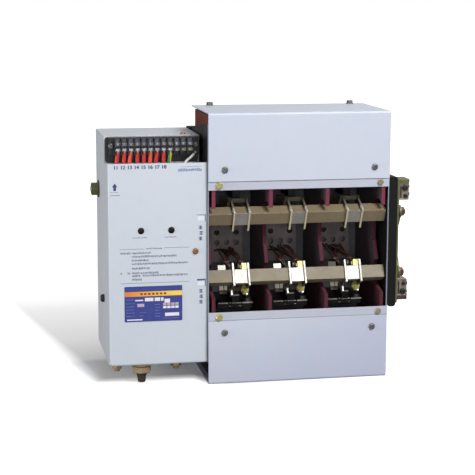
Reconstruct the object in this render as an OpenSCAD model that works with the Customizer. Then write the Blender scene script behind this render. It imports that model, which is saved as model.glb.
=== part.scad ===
// Motor-driven two-source disconnect switch with three poles, a control box at its left
// and two turning crossbars that carry the knife contacts.
// Millimetres, +Z up, the front faces -Y, the origin lies under the middle of the switch body.

/* [Switch body] */
// distance between the middles of neighbouring poles
pole_pitch = 80; // [70:1:100]
// from the middle of an end barrier to the edge of the covers
end_margin = 7.5; // [7:0.5:12]
// from the upper shaft axis to the top of the switch body
top_room = 143.5; // [130:0.5:160]
// depth of the covers from front to back
body_d = 142; // [130:1:170]
// height of the top cover's front face
top_cover_h = 93; // [80:1:98]
// height of the bottom cover's front face
bottom_cover_h = 89; // [80:1:98]
// sheet thickness of the covers
cover_sheet = 1.5; // [1:0.25:2.5]

/* [Crossbars and knives] */
// width of a square insulating crossbar
bar_w = 18; // [16:0.5:22]
// diameter of the steel shaft inside a crossbar
shaft_d = 12; // [10:0.5:12.5]
// depth of the shaft axes behind the cover fronts
shaft_depth = 20; // [18:0.5:24]
// height of the lower shaft axis
shaft_b_z = 146; // [138:0.5:150]
// distance from the lower to the upper shaft axis
shaft_gap = 86.5; // [84:0.5:110]
// lean of both crossbars in the open position, in degrees
open_tilt = 26; // [15:1:30]
// turn of a crossbar from open to closed, in degrees
swing = 40; // [30:1:42]
// distance between the two blades of a knife, middle to middle
blade_gap = 21.5; // [18:0.5:28]
// thickness of a blade
blade_t = 2.5; // [2:0.25:3.5]
// length of a blade's arm from the shaft axis to the contact pad
arm_len = 50; // [46:0.5:54]

/* [Conductors] */
// width of a terminal bar
terminal_w = 50; // [40:1:56]
// thickness of a terminal bar
terminal_t = 8; // [6:0.5:10]
// diameter of the hole for a terminal bolt
terminal_bore_d = 11; // [9:0.5:13]
// reach of the terminal bars behind the switch body
terminal_reach = 43; // [40:1:60]

/* [Mounting] */
// depth of the mounting channels behind the body
channel_d = 25; // [20:1:30]
// height of a mounting channel
channel_h = 40; // [36:1:46]
// gap between the terminal bars and the mounting channels
channel_gap = 20; // [10:1:24]
// distance between the mounting holes in a channel
mount_span = 200; // [160:1:230]
// diameter of a mounting hole
mount_bore_d = 9; // [7:0.5:11]

/* [Control box] */
// width of the control box
box_w = 135; // [130:1:160]
// height of the control box
box_h = 312; // [290:1:330]
// height of the control box above the ground
box_lift = 30; // [30:1:40]
// depth of the control box
box_d = 160; // [150:1:175]
// depth of the terminal recess at the top front
recess_d = 47; // [42:1:55]
// height of the terminal recess
recess_h = 36; // [32:1:50]
// height of the control box's front panel
panel_h = 279; // [272:1:282]
// sheet thickness of the control box
box_sheet = 1.5; // [1:0.25:2.5]
// distance between neighbouring control terminals
term_pitch = 9; // [8:0.25:10]

/* [Hidden] */
$fn = 64;

// overrun of every cut past the faces it opens
over = 1;

// number of poles and of their middle one
poles = 3;
mid_pole = (poles + 1) / 2;

// switch body
body_w = poles * pole_pitch + 2 * end_margin;
body_h = shaft_b_z + shaft_gap + top_room;
bend_r = 3;
front_y = -body_d / 2;
back_y = body_d / 2;

// front rails that show between the covers and the window
rail_t = 2;
rail_show = 12;
rail_h = 40;
rail_back_y = front_y + cover_sheet + rail_t;

// side plates of black steel
side_t = 2;
side_inset = 1;
side_trim = 31;
side_front_rise = 17;
side_in_x = body_w / 2 - side_inset;
side_out_x = side_in_x + side_t;

// shafts
shaft_y = front_y + shaft_depth;
shaft_a_z = shaft_b_z + shaft_gap;
shaft_r = shaft_d / 2;
running_fit = 0.06;
seat_fit = 0.05;
bar_end_gap = 1;

// phase barriers
barrier_t = 5;
barrier_trim = 4;
bar_clear_r = 20;
recess_depth = 42;
mid_step = 3;
lobe_tip_rise = 13;
lobe_tip_drop = 27;
lean_angle = 60;

// pole bases
base_t = 10;
base_fit = 0.3;
base_w = pole_pitch - barrier_t - 2 * base_fit;
base_front_y = back_y - base_t;
slot_fit = 0.4;
shelf_t = 12;
shelf_w = 60;
shelf_reach = 38;

// knives, in the frame of a shaft: back is away from the front, out is away from the middle
clamp_t = 1.5;
clamp_in = 8.5;
clamp_out = 11;
blade_proud = 1.5;
blade_front = bar_w / 2 + clamp_t + blade_proud;
blade_back = 13;
blade_in = 17.5;
blade_out = 14.5;
shoulder_h = 13;
shoulder_back = 24;
arm_w = 16;
arm_dip = 5;
arm_drop = -arm_dip - open_tilt;
arm_closed = swing - arm_dip;
bar_fit = 0.15;
hat_t = 2;
hat_h = 6;
hat_over = 1.5;
hat_back = 20;
pad_r = 7;
contact_gap = 0.4;
finger_w = 11;
finger_t = 3;
finger_gap = 3.4;
finger_in = 23.5;
finger_out = 17.5;
link_low = 2;
link_h = 6;

// fixed contacts
blade_clear = 7;
tab_t = 10;
tab_drop = 24;
tab_l = 46;
tab_margin = 4;
line_front = 36;
line_rise = arm_len * sin(arm_closed) + arm_w / 2 + blade_clear;
tab_front = arm_len * cos(arm_closed) - pad_r - tab_margin;
terminal_end_y = back_y + terminal_reach;
terminal_inset = 13;
bore_y = terminal_end_y - terminal_inset;
load_z = (shaft_a_z + shaft_b_z) / 2;
load_w = 48;
load_h = 82;
load_t = 6;
load_seat = 1;
load_stand = 4;
load_hole_d = 8.2;
load_hole_pitch = 14.3;
load_hole_drop = 12;
load_hole_rise = 3;
boss_w = 44;
boss_h = 70;

// mounting channels
channel_t = 3;
box_gap = 3;
channel_w = 2 * (side_out_x + box_gap);
channel_a_z = shaft_a_z + line_rise + terminal_t + channel_gap + channel_h / 2;
channel_b_z = shaft_b_z - line_rise - terminal_t - channel_gap - channel_h / 2;

// bearing plate, zinc plate and aux switches at the right
bearing_t = 11.5;
bearing_front = 1.5;
bearing_d = 60;
bearing_over = 1.5;
bearing_lift = 11;
bearing_z = bottom_cover_h + bearing_lift;
bearing_h = body_h - top_cover_h + bearing_over - bearing_z;
bearing_r = 4;
bearing_x = side_out_x;
zinc_t = 2;
zinc_d = 54;
zinc_trim = 4;
shaft_pass = 1.5;
zinc_x = bearing_x + bearing_t;
aux_x = zinc_x + zinc_t;
aux_w = 25;
aux_d = 26;
aux_h = 30;
aux_setback = 27;
aux_a_rise = 14;
aux_b_drop = 14;
aux_tab_w = 4;
aux_tab_t = 1;
aux_tab_l = 3;
aux_tab_pitch = 10;
aux_step = 5;

// levers and heads at the shaft ends
lever_gap = 5;
lever_t = 3;
lever_hub_r = 9;
lever_w = 11;
lever_l = 19;
lever_x = aux_x + lever_gap;
head_t = 5;
head_af = 11;
shaft_right_x = lever_x + lever_t;
shaft_left_x = -side_out_x + seat_fit;

// control box
box_right_x = -side_out_x;
box_left_x = box_right_x - box_w;
box_mid_x = (box_left_x + box_right_x) / 2;
box_front_y = back_y + channel_d - box_d;
box_back_y = back_y + channel_d;
box_top_z = box_lift + box_h;
lip_d = 4;
wall_front_y = box_front_y + lip_d;
recess_wall_y = box_front_y + recess_d;
recess_floor_z = box_top_z - recess_h;

// control terminals
terms = 12;
strip_ends = 8;
strip_w = terms * term_pitch + 2 * strip_ends;
strip_h = 24;
board_t = 4;
board_r = 4;
board_edge = 1.5;
strip_base_t = 9;
strip_fin_t = 1.6;
strip_fin_h = 8;
strip_top_gap = 1;
strip_ridge_h = 5;
strip_ridge_t = 2;
strip_ridge_low = 10;
strip_top_z = box_top_z - strip_top_gap;
strip_front_y = recess_wall_y - board_t - strip_base_t;
leads = 9;
lead_d = 5.6;
lead_gap = 0.3;
lug_w = 6;
lug_t = 1;
lug_h = 7;
lug_low = 1;
lead_up = 2;

// front panel and box fittings
button_d = 8;
button_h = 2;
button_z = 217.5;
button_left = 23;
button_right = 18.5;
earth_z = 259.5;
earth_inset = 36;
earth_af = 17;
earth_h = 10;
washer_d = 24;
washer_t = 1.6;
gland_x = 46;
gland_inset = 20;
gland_collar_af = 25;
gland_collar_h = 5;
gland_nut_af = 21;
gland_nut_h = 9;
gland_tip_top_d = 16;
gland_tip_low_d = 11;
gland_tip_h = 14;
gland_bore_d = 8;
gland_bore_l = 24;

// hexagon drawn to its width across the flats
hex_share = cos(30);

// outline in depth and height, drawn out along X from zero
module across(length) {
    rotate([90, 0, 90]) linear_extrude(length) children();
}

// outline in depth and height, drawn out along X about zero
module across_mid(length) {
    translate([-length / 2, 0, 0]) across(length) children();
}

function pole_x(pole) = (pole - mid_pole) * pole_pitch;
function barrier_x(rank) = (rank - mid_pole - 1 / 2) * pole_pitch;

// frame of an upper shaft, its outer side up
module bank_a() {
    translate([0, shaft_y, shaft_a_z]) children();
}

// frame of a lower shaft, its outer side down
module bank_b() {
    translate([0, shaft_y, shaft_b_z]) mirror([0, 0, 1]) children();
}

// channel section that bolts to the cabinet, open toward the body
module back_channel(z_mid) {
    translate([0, back_y, z_mid]) difference() {
        translate([-channel_w / 2, 0, -channel_h / 2]) cube([channel_w, channel_d, channel_h]);
        translate([-channel_w / 2 - over, -over, channel_t - channel_h / 2])
            cube([channel_w + 2 * over, channel_d - channel_t + over, channel_h - 2 * channel_t]);
        for (side = [-1, 1])
            translate([side * mount_span / 2, channel_d + over, 0])
                rotate([90, 0, 0]) cylinder(d = mount_bore_d, h = channel_t + 2 * over);
    }
}

module back_channel_top() {
    color("#1c1c1e") back_channel(channel_a_z);
}

module back_channel_bottom() {
    color("#1c1c1e") back_channel(channel_b_z);
}

// side plate with the bearings of both shafts
module side_plate(x_low) {
    translate([x_low, 0, 0]) across(side_t) difference() {
        polygon([
            [rail_back_y, side_trim], [back_y, side_trim], [back_y, body_h - side_trim],
            [rail_back_y, body_h - side_trim + side_front_rise]
        ]);
        translate([shaft_y, shaft_a_z]) circle(r = shaft_r + running_fit);
        translate([shaft_y, shaft_b_z]) circle(r = shaft_r + running_fit);
    }
}

module side_plate_left() {
    color("#202022") side_plate(-side_out_x);
}

module side_plate_right() {
    color("#202022") side_plate(side_in_x);
}

// slot through a pole base for a terminal bar
module base_slot(z_mid) {
    translate([-terminal_w / 2 - slot_fit, base_front_y - load_stand - over, z_mid - terminal_t / 2 - slot_fit])
        cube([terminal_w + 2 * slot_fit, base_t + load_stand + 2 * over, terminal_t + 2 * slot_fit]);
}

// moulded base of one pole with a shelf for each line contact and a boss for the load contact
module pole_base(pole) {
    shelf_a_z = shaft_a_z + line_rise + terminal_t + slot_fit;
    shelf_b_z = shaft_b_z - line_rise - terminal_t - slot_fit - shelf_t;
    color("#2a2422") translate([pole_x(pole), 0, 0]) difference() {
        union() {
            translate([-base_w / 2, base_front_y, cover_sheet])
                cube([base_w, base_t, body_h - 2 * cover_sheet]);
            translate([-shelf_w / 2, base_front_y - shelf_reach, shelf_a_z])
                cube([shelf_w, shelf_reach + over, shelf_t]);
            translate([-shelf_w / 2, base_front_y - shelf_reach, shelf_b_z])
                cube([shelf_w, shelf_reach + over, shelf_t]);
            translate([-boss_w / 2, base_front_y - load_stand, load_z - boss_h / 2])
                cube([boss_w, load_stand + over, boss_h]);
        }
        base_slot(shaft_a_z + line_rise + terminal_t / 2);
        base_slot(shaft_b_z - line_rise - terminal_t / 2);
        base_slot(load_z);
    }
}

module pole_base_1() pole_base(1);
module pole_base_2() pole_base(2);
module pole_base_3() pole_base(3);

// moulded wall between the poles, cut back at the front where the crossbars turn
module phase_barrier(rank) {
    low_z = cover_sheet + barrier_trim;
    recess_y = front_y + recess_depth;
    color("#6e2337") translate([barrier_x(rank), 0, 0]) across_mid(barrier_t) difference() {
        translate([rail_back_y, low_z]) square([back_y - rail_back_y, body_h - 2 * low_z]);
        translate([shaft_y, shaft_a_z]) circle(r = bar_clear_r);
        translate([shaft_y, shaft_b_z]) circle(r = bar_clear_r);
        polygon([
            [front_y - over, shaft_b_z - lobe_tip_drop],
            [shaft_y, shaft_b_z - bar_clear_r],
            [shaft_y + bar_clear_r * cos(lean_angle), shaft_b_z + bar_clear_r * sin(lean_angle)],
            [recess_y, load_z],
            [recess_y + mid_step, load_z],
            [recess_y + mid_step, shaft_a_z],
            [shaft_y, shaft_a_z + lobe_tip_rise],
            [front_y - over, shaft_a_z + lobe_tip_rise]
        ]);
    }
}

module phase_barrier_1() phase_barrier(1);
module phase_barrier_2() phase_barrier(2);
module phase_barrier_3() phase_barrier(3);
module phase_barrier_4() phase_barrier(4);

// pale strip between a cover and the window
module front_rail(z_low) {
    color("#cfd4de") translate([-body_w / 2, front_y + cover_sheet, z_low])
        cube([body_w, rail_t, rail_h]);
}

module front_rail_top() front_rail(body_h - top_cover_h - rail_show);
module front_rail_bottom() front_rail(bottom_cover_h + rail_show - rail_h);

// outline of a sheet folded once, with its corner rounded
module folded(long_leg, short_leg, sheet) {
    translate([bend_r, 0]) square([long_leg - bend_r, sheet]);
    translate([0, bend_r]) square([sheet, short_leg - bend_r]);
    intersection() {
        square([bend_r, bend_r]);
        translate([bend_r, bend_r]) difference() {
            circle(r = bend_r);
            circle(r = bend_r - sheet);
        }
    }
}

// folded cover of one front face and one end face
module cover(front_h) {
    across_mid(body_w) translate([front_y, 0]) folded(body_d, front_h, cover_sheet);
}

module top_cover() {
    color("#cdd3de") translate([0, 0, body_h]) mirror([0, 0, 1]) cover(top_cover_h);
}

module bottom_cover() {
    color("#cdd3de") cover(bottom_cover_h);
}

// terminal bar with its bolt hole at the back
module terminal_bar(y_low) {
    difference() {
        translate([-terminal_w / 2, y_low, -terminal_t / 2])
            cube([terminal_w, terminal_end_y - y_low, terminal_t]);
        translate([0, bore_y, -terminal_t / 2 - over])
            cylinder(d = terminal_bore_d, h = terminal_t + 2 * over);
    }
}

// fixed line contact: a terminal bar with the tab that a knife closes on
module line_contact(pole) {
    color("#b9a27e") translate([pole_x(pole), 0, line_rise]) {
        translate([0, -shaft_y, terminal_t / 2]) terminal_bar(shaft_y + line_front);
        translate([-tab_t / 2, tab_front, -tab_drop]) cube([tab_t, tab_l, tab_drop + terminal_t / 2]);
    }
}

module line_contact_a_1() bank_a() line_contact(1);
module line_contact_a_2() bank_a() line_contact(2);
module line_contact_a_3() bank_a() line_contact(3);
module line_contact_b_1() bank_b() line_contact(1);
module line_contact_b_2() bank_b() line_contact(2);
module line_contact_b_3() bank_b() line_contact(3);

// load contact: a perforated plate in the middle of a pole with its terminal bar behind
module load_contact(pole) {
    plate_y = base_front_y - load_stand - load_t;
    color("#8d8a84") translate([pole_x(pole), 0, load_z]) {
        terminal_bar(plate_y + load_t - load_seat);
        difference() {
            translate([-load_w / 2, plate_y, -load_h / 2]) cube([load_w, load_t, load_h]);
            for (side = [-1, 0, 1])
                translate([side * load_hole_pitch, plate_y + load_t + over, -load_hole_drop])
                    rotate([90, 0, 0]) cylinder(d = load_hole_d, h = load_t + 2 * over);
            for (side = [-1, 1])
                translate([side * load_hole_pitch, plate_y + load_t + over, load_hole_rise])
                    rotate([90, 0, 0]) cylinder(d = load_hole_d, h = load_t + 2 * over);
        }
    }
}

module load_contact_1() load_contact(1);
module load_contact_2() load_contact(2);
module load_contact_3() load_contact(3);

// outline of a rounded bar seen from the front
module rounded_bar(width, height, corner) {
    translate([corner, 0]) square([width - 2 * corner, height]);
    translate([0, corner]) square([width, height - 2 * corner]);
    for (x = [corner, width - corner], z = [corner, height - corner])
        translate([x, z]) circle(r = corner);
}

// thick black plate at the right end that guides both shafts
module bearing_plate() {
    color("#1d1c1a") difference() {
        translate([bearing_x, front_y + bearing_front + bearing_d, bearing_z])
            rotate([90, 0, 0]) linear_extrude(bearing_d) rounded_bar(bearing_t, bearing_h, bearing_r);
        for (z = [shaft_a_z, shaft_b_z])
            translate([bearing_x - over, shaft_y, z])
                rotate([0, 90, 0]) cylinder(r = shaft_r + shaft_pass, h = bearing_t + 2 * over);
    }
}

// plated sheet on the outer face of the bearing plate
module zinc_plate() {
    color("#9a9c6c") difference() {
        translate([zinc_x, front_y + bearing_front + zinc_trim, bearing_z + zinc_trim])
            cube([zinc_t, zinc_d, bearing_h - 2 * zinc_trim]);
        for (z = [shaft_a_z, shaft_b_z])
            translate([zinc_x - over, shaft_y, z])
                rotate([0, 90, 0]) cylinder(r = shaft_r + shaft_pass, h = zinc_t + 2 * over);
    }
}

// one position switch with its two connection tabs
module aux_switch() {
    translate([aux_x, shaft_y - aux_d / 2 + aux_setback, 0]) {
        cube([aux_w, aux_d, aux_h]);
        translate([aux_w - aux_tab_t, aux_d / 2 - aux_tab_pitch / 2, aux_step])
            cube([aux_tab_l + aux_tab_t, aux_tab_t, aux_tab_w]);
        translate([aux_w - aux_tab_t, aux_d / 2 + aux_tab_pitch / 2, aux_step])
            cube([aux_tab_l + aux_tab_t, aux_tab_t, aux_tab_w]);
    }
}

module aux_switches() {
    color("#5a564c") {
        translate([0, 0, shaft_a_z + aux_a_rise]) aux_switch();
        translate([0, 0, shaft_b_z - aux_b_drop - aux_h]) aux_switch();
    }
}

// outline of the control box seen from the side, drawn in by one distance all round
module box_outline(inset) {
    polygon([
        [wall_front_y + inset, box_lift + inset],
        [box_back_y - inset, box_lift + inset],
        [box_back_y - inset, box_top_z - inset],
        [recess_wall_y + inset, box_top_z - inset],
        [recess_wall_y + inset, recess_floor_z - inset],
        [wall_front_y + inset, recess_floor_z - inset]
    ]);
}

// hollow sheet box with the stepped recess for the control terminals
module control_box() {
    color("#b9bbbf") translate([box_left_x, 0, 0]) difference() {
        across(box_w - box_gap) box_outline(0);
        translate([box_sheet, 0, 0]) across(box_w - box_gap - 2 * box_sheet) box_outline(box_sheet);
    }
}

// front panel folded back along its left and lower edges
module control_panel() {
    color("#ccd2dc") {
        translate([box_left_x, box_front_y, box_lift + bend_r]) linear_extrude(panel_h - bend_r)
            folded(box_w, lip_d, box_sheet);
        translate([box_left_x + bend_r, box_front_y, box_lift]) across(box_w - bend_r)
            folded(lip_d, panel_h - bend_r, box_sheet);
    }
}

// barrier terminal strip with a rib between neighbouring terminals, on a board that lines the recess
module terminal_strip() {
    board_w = box_w - box_gap - 2 * board_edge;
    color("#1a1a1b") translate([box_left_x + board_edge, recess_wall_y, recess_floor_z])
        rotate([90, 0, 0]) linear_extrude(board_t) rounded_bar(board_w, recess_h - strip_top_gap, board_r);
    color("#1a1a1b") translate([box_mid_x, strip_front_y, strip_top_z - strip_h]) {
        translate([-strip_w / 2, 0, 0]) cube([strip_w, strip_base_t + over, strip_h]);
        for (rank = [0 : terms])
            translate([(rank - terms / 2) * term_pitch - strip_fin_t / 2, -strip_fin_h, 0])
                cube([strip_fin_t, strip_fin_h + over, strip_h]);
        translate([-terms * term_pitch / 2, -strip_ridge_h, strip_ridge_low])
            cube([terms * term_pitch, strip_ridge_h + over, strip_ridge_t]);
    }
}

// sleeved leads that drop from the lower terminals to the recess floor
module control_leads() {
    lead_y = strip_front_y - lead_d / 2 - lead_gap;
    low_z = strip_top_z - strip_h;
    color("#c83a34") for (rank = [1 : leads])
        translate([box_mid_x + (rank - terms / 2 - 1 / 2) * term_pitch, 0, 0]) {
            translate([0, lead_y, recess_floor_z])
                cylinder(d = lead_d, h = low_z + lead_up - recess_floor_z);
            translate([-lug_w / 2, strip_front_y - lug_t, low_z + lug_low]) cube([lug_w, lug_t, lug_h]);
            translate([-lead_d / 4, lead_y, low_z + lug_low])
                cube([lead_d / 2, strip_front_y - lead_y, lead_up - lug_low]);
        }
}

// two round push buttons on the front panel
module panel_buttons() {
    color("#161617") for (x = [box_mid_x - button_left, box_mid_x + button_right])
        translate([x, box_front_y, button_z])
            rotate([90, 0, 0]) cylinder(d = button_d, h = button_h);
}

// hexagon bolt with a black washer on the left wall
module earth_bolt() {
    color("#8d8458") translate([box_left_x, box_back_y - earth_inset, earth_z])
        rotate([0, -90, 0]) {
            cylinder(d = washer_d, h = washer_t);
            cylinder(d = earth_af / hex_share, h = washer_t + earth_h, $fn = 6);
        }
}

// cable gland under the control box: collar, nut, tapered end and a blind cable bore
module cable_gland() {
    nut_z = -gland_collar_h - gland_nut_h;
    tip_z = nut_z - gland_tip_h;
    color("#8a7f4e") translate([box_left_x + gland_x, box_front_y + gland_inset, box_lift]) difference() {
        union() {
            translate([0, 0, -gland_collar_h])
                cylinder(d = gland_collar_af / hex_share, h = gland_collar_h, $fn = 6);
            translate([0, 0, nut_z])
                cylinder(d = gland_nut_af / hex_share, h = gland_nut_h + over, $fn = 6);
            translate([0, 0, tip_z])
                cylinder(d1 = gland_tip_low_d, d2 = gland_tip_top_d, h = gland_tip_h);
        }
        translate([0, 0, tip_z - over]) cylinder(d = gland_bore_d, h = gland_bore_l + over);
    }
}

// square insulating crossbar with a round bore for its shaft
module crossbar() {
    bar_l = 2 * (side_in_x - bar_end_gap);
    rotate([open_tilt, 0, 0]) across_mid(bar_l) difference() {
        translate([-bar_w / 2, -bar_w / 2]) square([bar_w, bar_w]);
        circle(r = shaft_r + seat_fit);
    }
}

// round steel shaft with a hexagon head at its right end
module shaft() {
    translate([shaft_left_x, 0, 0])
        rotate([0, 90, 0]) cylinder(r = shaft_r, h = shaft_right_x - shaft_left_x + over);
    translate([shaft_right_x, 0, 0])
        rotate([0, 90, 0]) cylinder(d = head_af / hex_share, h = head_t, $fn = 6);
}

// outline of one blade in the frame of its shaft
module blade_outline() {
    difference() {
        union() {
            translate([-blade_front, -blade_in]) square([blade_front + blade_back, blade_in + blade_out]);
            translate([-blade_front, blade_out - shoulder_h])
                square([blade_front + shoulder_back, shoulder_h]);
            rotate(arm_drop) translate([0, -arm_w / 2]) square([arm_len, arm_w]);
            rotate(arm_drop) translate([arm_len, 0]) circle(d = arm_w);
        }
        translate([-bar_w / 2 - bar_fit, -bar_w / 2 - bar_fit])
            square([bar_w + 2 * bar_fit, bar_w + 2 * bar_fit]);
    }
}

// knife: two blades joined by the clamp plate in front of the crossbar and the yoke behind it,
// with a contact pad at the end of each blade and an arcing finger at the left
module knife(pole) {
    inner = blade_gap / 2 - blade_t / 2;
    outer = blade_gap / 2 + blade_t / 2;
    translate([pole_x(pole), 0, 0]) rotate([open_tilt, 0, 0]) {
        for (side = [-1, 1]) {
            translate([side * blade_gap / 2, 0, 0]) across_mid(blade_t) blade_outline();
            rotate([arm_drop, 0, 0]) translate([side * (tab_t / 2 + contact_gap), arm_len, 0])
                rotate([0, side * 90, 0]) cylinder(r = pad_r, h = inner - tab_t / 2 - contact_gap + blade_t / 2);
        }
        translate([-inner - blade_t / 2, blade_proud - blade_front, -clamp_in])
            cube([2 * inner + blade_t, clamp_t - bar_fit, clamp_in + clamp_out]);
        translate([-outer - hat_over, hat_back, blade_out - hat_h])
            cube([2 * outer + 2 * hat_over, hat_t, hat_h]);
        translate([-outer - finger_gap - finger_w, hat_back, link_low])
            cube([finger_w + finger_gap + blade_t, hat_t, link_h]);
        translate([-outer - finger_gap - finger_w, hat_back, -finger_in])
            cube([finger_w, finger_t, finger_in + finger_out]);
    }
}

// lever clamped on the shaft end outside the zinc plate, pointing toward the middle
module end_lever() {
    rotate([open_tilt, 0, 0]) translate([lever_x, 0, 0]) across(lever_t) difference() {
        union() {
            circle(r = lever_hub_r);
            translate([-lever_w / 2, -lever_l]) square([lever_w, lever_l]);
        }
        circle(r = shaft_r + seat_fit);
    }
}

module crossbar_a() color("#9a8a6c") bank_a() crossbar();
module crossbar_b() color("#9a8a6c") bank_b() crossbar();
module shaft_a() color("#9c9a80") bank_a() shaft();
module shaft_b() color("#9c9a80") bank_b() shaft();
module knife_a_1() color("#9b9d9c") bank_a() knife(1);
module knife_a_2() color("#9b9d9c") bank_a() knife(2);
module knife_a_3() color("#9b9d9c") bank_a() knife(3);
module knife_b_1() color("#c9cbc8") bank_b() knife(1);
module knife_b_2() color("#c9cbc8") bank_b() knife(2);
module knife_b_3() color("#c9cbc8") bank_b() knife(3);
module end_lever_a() color("#b0a870") bank_a() end_lever();
module end_lever_b() color("#b0a870") bank_b() end_lever();

back_channel_top();
back_channel_bottom();
side_plate_left();
side_plate_right();
pole_base_1();
pole_base_2();
pole_base_3();
phase_barrier_1();
phase_barrier_2();
phase_barrier_3();
phase_barrier_4();
front_rail_top();
front_rail_bottom();
top_cover();
bottom_cover();
line_contact_a_1();
line_contact_a_2();
line_contact_a_3();
line_contact_b_1();
line_contact_b_2();
line_contact_b_3();
load_contact_1();
load_contact_2();
load_contact_3();
bearing_plate();
zinc_plate();
aux_switches();
control_box();
control_panel();
terminal_strip();
control_leads();
panel_buttons();
earth_bolt();
cable_gland();
crossbar_a();
shaft_a();
knife_a_1();
knife_a_2();
knife_a_3();
end_lever_a();
crossbar_b();
shaft_b();
knife_b_1();
knife_b_2();
knife_b_3();
end_lever_b();
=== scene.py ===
# %% [markdown]
# A motor-driven disconnect switch, dressed in Blender
#
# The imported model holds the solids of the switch: sheet covers, barriers, contacts, two turning
# crossbars and a control box. This lesson loads them as a fixed frame, gives every solid a procedural
# finish and models the small parts by hand: screws, terminals, leads, marks and a rating plate.

# %% Load the frame
import math
import random

import bmesh
import bpy
from mathutils import Matrix, Vector


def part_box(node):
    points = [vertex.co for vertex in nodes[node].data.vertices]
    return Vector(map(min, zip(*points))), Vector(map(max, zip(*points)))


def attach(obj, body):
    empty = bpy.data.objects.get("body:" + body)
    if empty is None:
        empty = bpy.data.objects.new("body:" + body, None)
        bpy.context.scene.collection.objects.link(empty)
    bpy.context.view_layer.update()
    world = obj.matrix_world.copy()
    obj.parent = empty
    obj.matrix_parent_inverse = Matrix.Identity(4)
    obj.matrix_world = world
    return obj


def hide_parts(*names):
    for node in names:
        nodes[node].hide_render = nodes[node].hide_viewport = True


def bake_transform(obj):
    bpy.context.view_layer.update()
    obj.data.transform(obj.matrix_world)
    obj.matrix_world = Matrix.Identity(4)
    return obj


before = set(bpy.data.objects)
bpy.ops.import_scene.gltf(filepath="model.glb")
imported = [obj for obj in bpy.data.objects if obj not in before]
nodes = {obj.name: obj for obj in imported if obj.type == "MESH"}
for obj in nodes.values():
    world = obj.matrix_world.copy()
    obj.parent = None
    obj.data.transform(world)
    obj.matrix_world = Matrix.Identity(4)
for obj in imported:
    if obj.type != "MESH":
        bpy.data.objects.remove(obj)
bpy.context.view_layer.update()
print("nodes loaded:", len(nodes))

# %% [markdown]
# The camera stands a little to the left of the switch and looks down on it by ten degrees. Its place
# was solved from the straight edges of the real covers, so that the picture has the same perspective.
# A long lens keeps the edges of the box nearly parallel, as in a product picture.

# %% Camera
CAMERA_SPOT = (-0.4502, -1.9223, 0.5340)
CAMERA_TURN = (80.13, -0.16, -11.06)
PICTURE_WIDTH = 475
FOCAL_PIXELS = 1400.9
SENSOR_WIDTH = 36

lens = bpy.data.cameras.new("studio_camera")
lens.sensor_fit = "HORIZONTAL"
lens.sensor_width = SENSOR_WIDTH
lens.lens = FOCAL_PIXELS / PICTURE_WIDTH * SENSOR_WIDTH
camera = bpy.data.objects.new("studio_camera", lens)
camera.location = CAMERA_SPOT
camera.rotation_euler = [math.radians(turn) for turn in CAMERA_TURN]
bpy.context.scene.collection.objects.link(camera)
bpy.context.scene.camera = camera
print("camera lens in mm:", round(lens.lens, 2))

# %% [markdown]
# Modelling by script works as by hand: only one piece is selected, edit mode is entered, faces or edges
# are picked, and an operator acts on them. These few helpers do the picking. They choose faces by the
# place of their middle and by their normal, because a script can't click.

# %% Helpers for selecting and editing
MM = 0.001
ALONG = 0.9  # a direction with this share of an axis counts as along it
SAME_PLACE = 1e-6


def only(piece):
    """Leaves edit mode and selects this piece alone."""
    if bpy.context.mode != "OBJECT":
        bpy.ops.object.mode_set(mode="OBJECT")
    bpy.ops.object.select_all(action="DESELECT")
    if piece:
        piece.select_set(True)
        bpy.context.view_layer.objects.active = piece
    return piece


def named(name):
    """Names the piece that was just added."""
    piece = bpy.context.active_object
    piece.name = name
    piece.data.name = name
    return piece


def link_new(name, data):
    """Links a new piece to the scene and selects it alone."""
    piece = bpy.data.objects.new(name, data)
    bpy.context.scene.collection.objects.link(piece)
    return only(piece)


def edit_all():
    """Enters edit mode with the whole mesh selected."""
    bpy.ops.object.mode_set(mode="EDIT")
    bpy.ops.mesh.select_all(action="SELECT")


def apply_place():
    """Puts the place, turn and scale of the selected piece into its mesh."""
    bpy.ops.object.transform_apply(location=True, rotation=True, scale=True)


def pick(piece, wanted, kind="FACE"):
    """Selects the faces or edges whose middle and direction pass the test, in edit mode."""
    only(piece)
    bpy.ops.object.mode_set(mode="EDIT")
    bpy.ops.mesh.select_mode(type=kind)
    bpy.ops.mesh.select_all(action="DESELECT")
    mesh = bmesh.from_edit_mesh(piece.data)
    mesh.normal_update()
    for part in mesh.faces if kind == "FACE" else mesh.edges:
        if kind == "FACE":
            middle, way = part.calc_center_median(), part.normal
        else:
            middle = (part.verts[0].co + part.verts[1].co) / 2
            way = (part.verts[1].co - part.verts[0].co).normalized()
        if wanted(middle, way):
            part.select_set(True)
    bmesh.update_edit_mesh(piece.data)


def top_face(piece):
    """Picks the highest flat faces."""
    high = max(corner.co.z for corner in piece.data.vertices)
    pick(piece, lambda middle, way: way.z > ALONG and abs(middle.z - high) < SAME_PLACE)


def move_out(step):
    """Extrudes the picked faces by a step in mm."""
    bpy.ops.mesh.extrude_region_move(TRANSFORM_OT_translate={"value": [value * MM for value in step]})


def move_up(step, widen=1.0):
    """Extrudes the picked faces along Z, in mm, and scales the new end about the Z axis."""
    move_out((0, 0, step))
    if widen != 1.0:
        bpy.ops.transform.resize(value=(widen, widen, 1), center_override=(0, 0, 0))


def smooth(piece, angle=35):
    """Shades the piece smooth, with its sharp edges kept."""
    only(piece)
    bpy.ops.object.shade_smooth_by_angle(angle=math.radians(angle))
    return piece


def soften(piece, width, segments=2):
    """Rounds the sharp edges, by a width in mm."""
    only(piece)
    bevel = piece.modifiers.new("soften", "BEVEL")
    bevel.width = width * MM
    bevel.segments = segments
    bevel.limit_method = "ANGLE"
    bevel.angle_limit = math.radians(40)
    bpy.ops.object.modifier_apply(modifier=bevel.name)
    return piece


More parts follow.
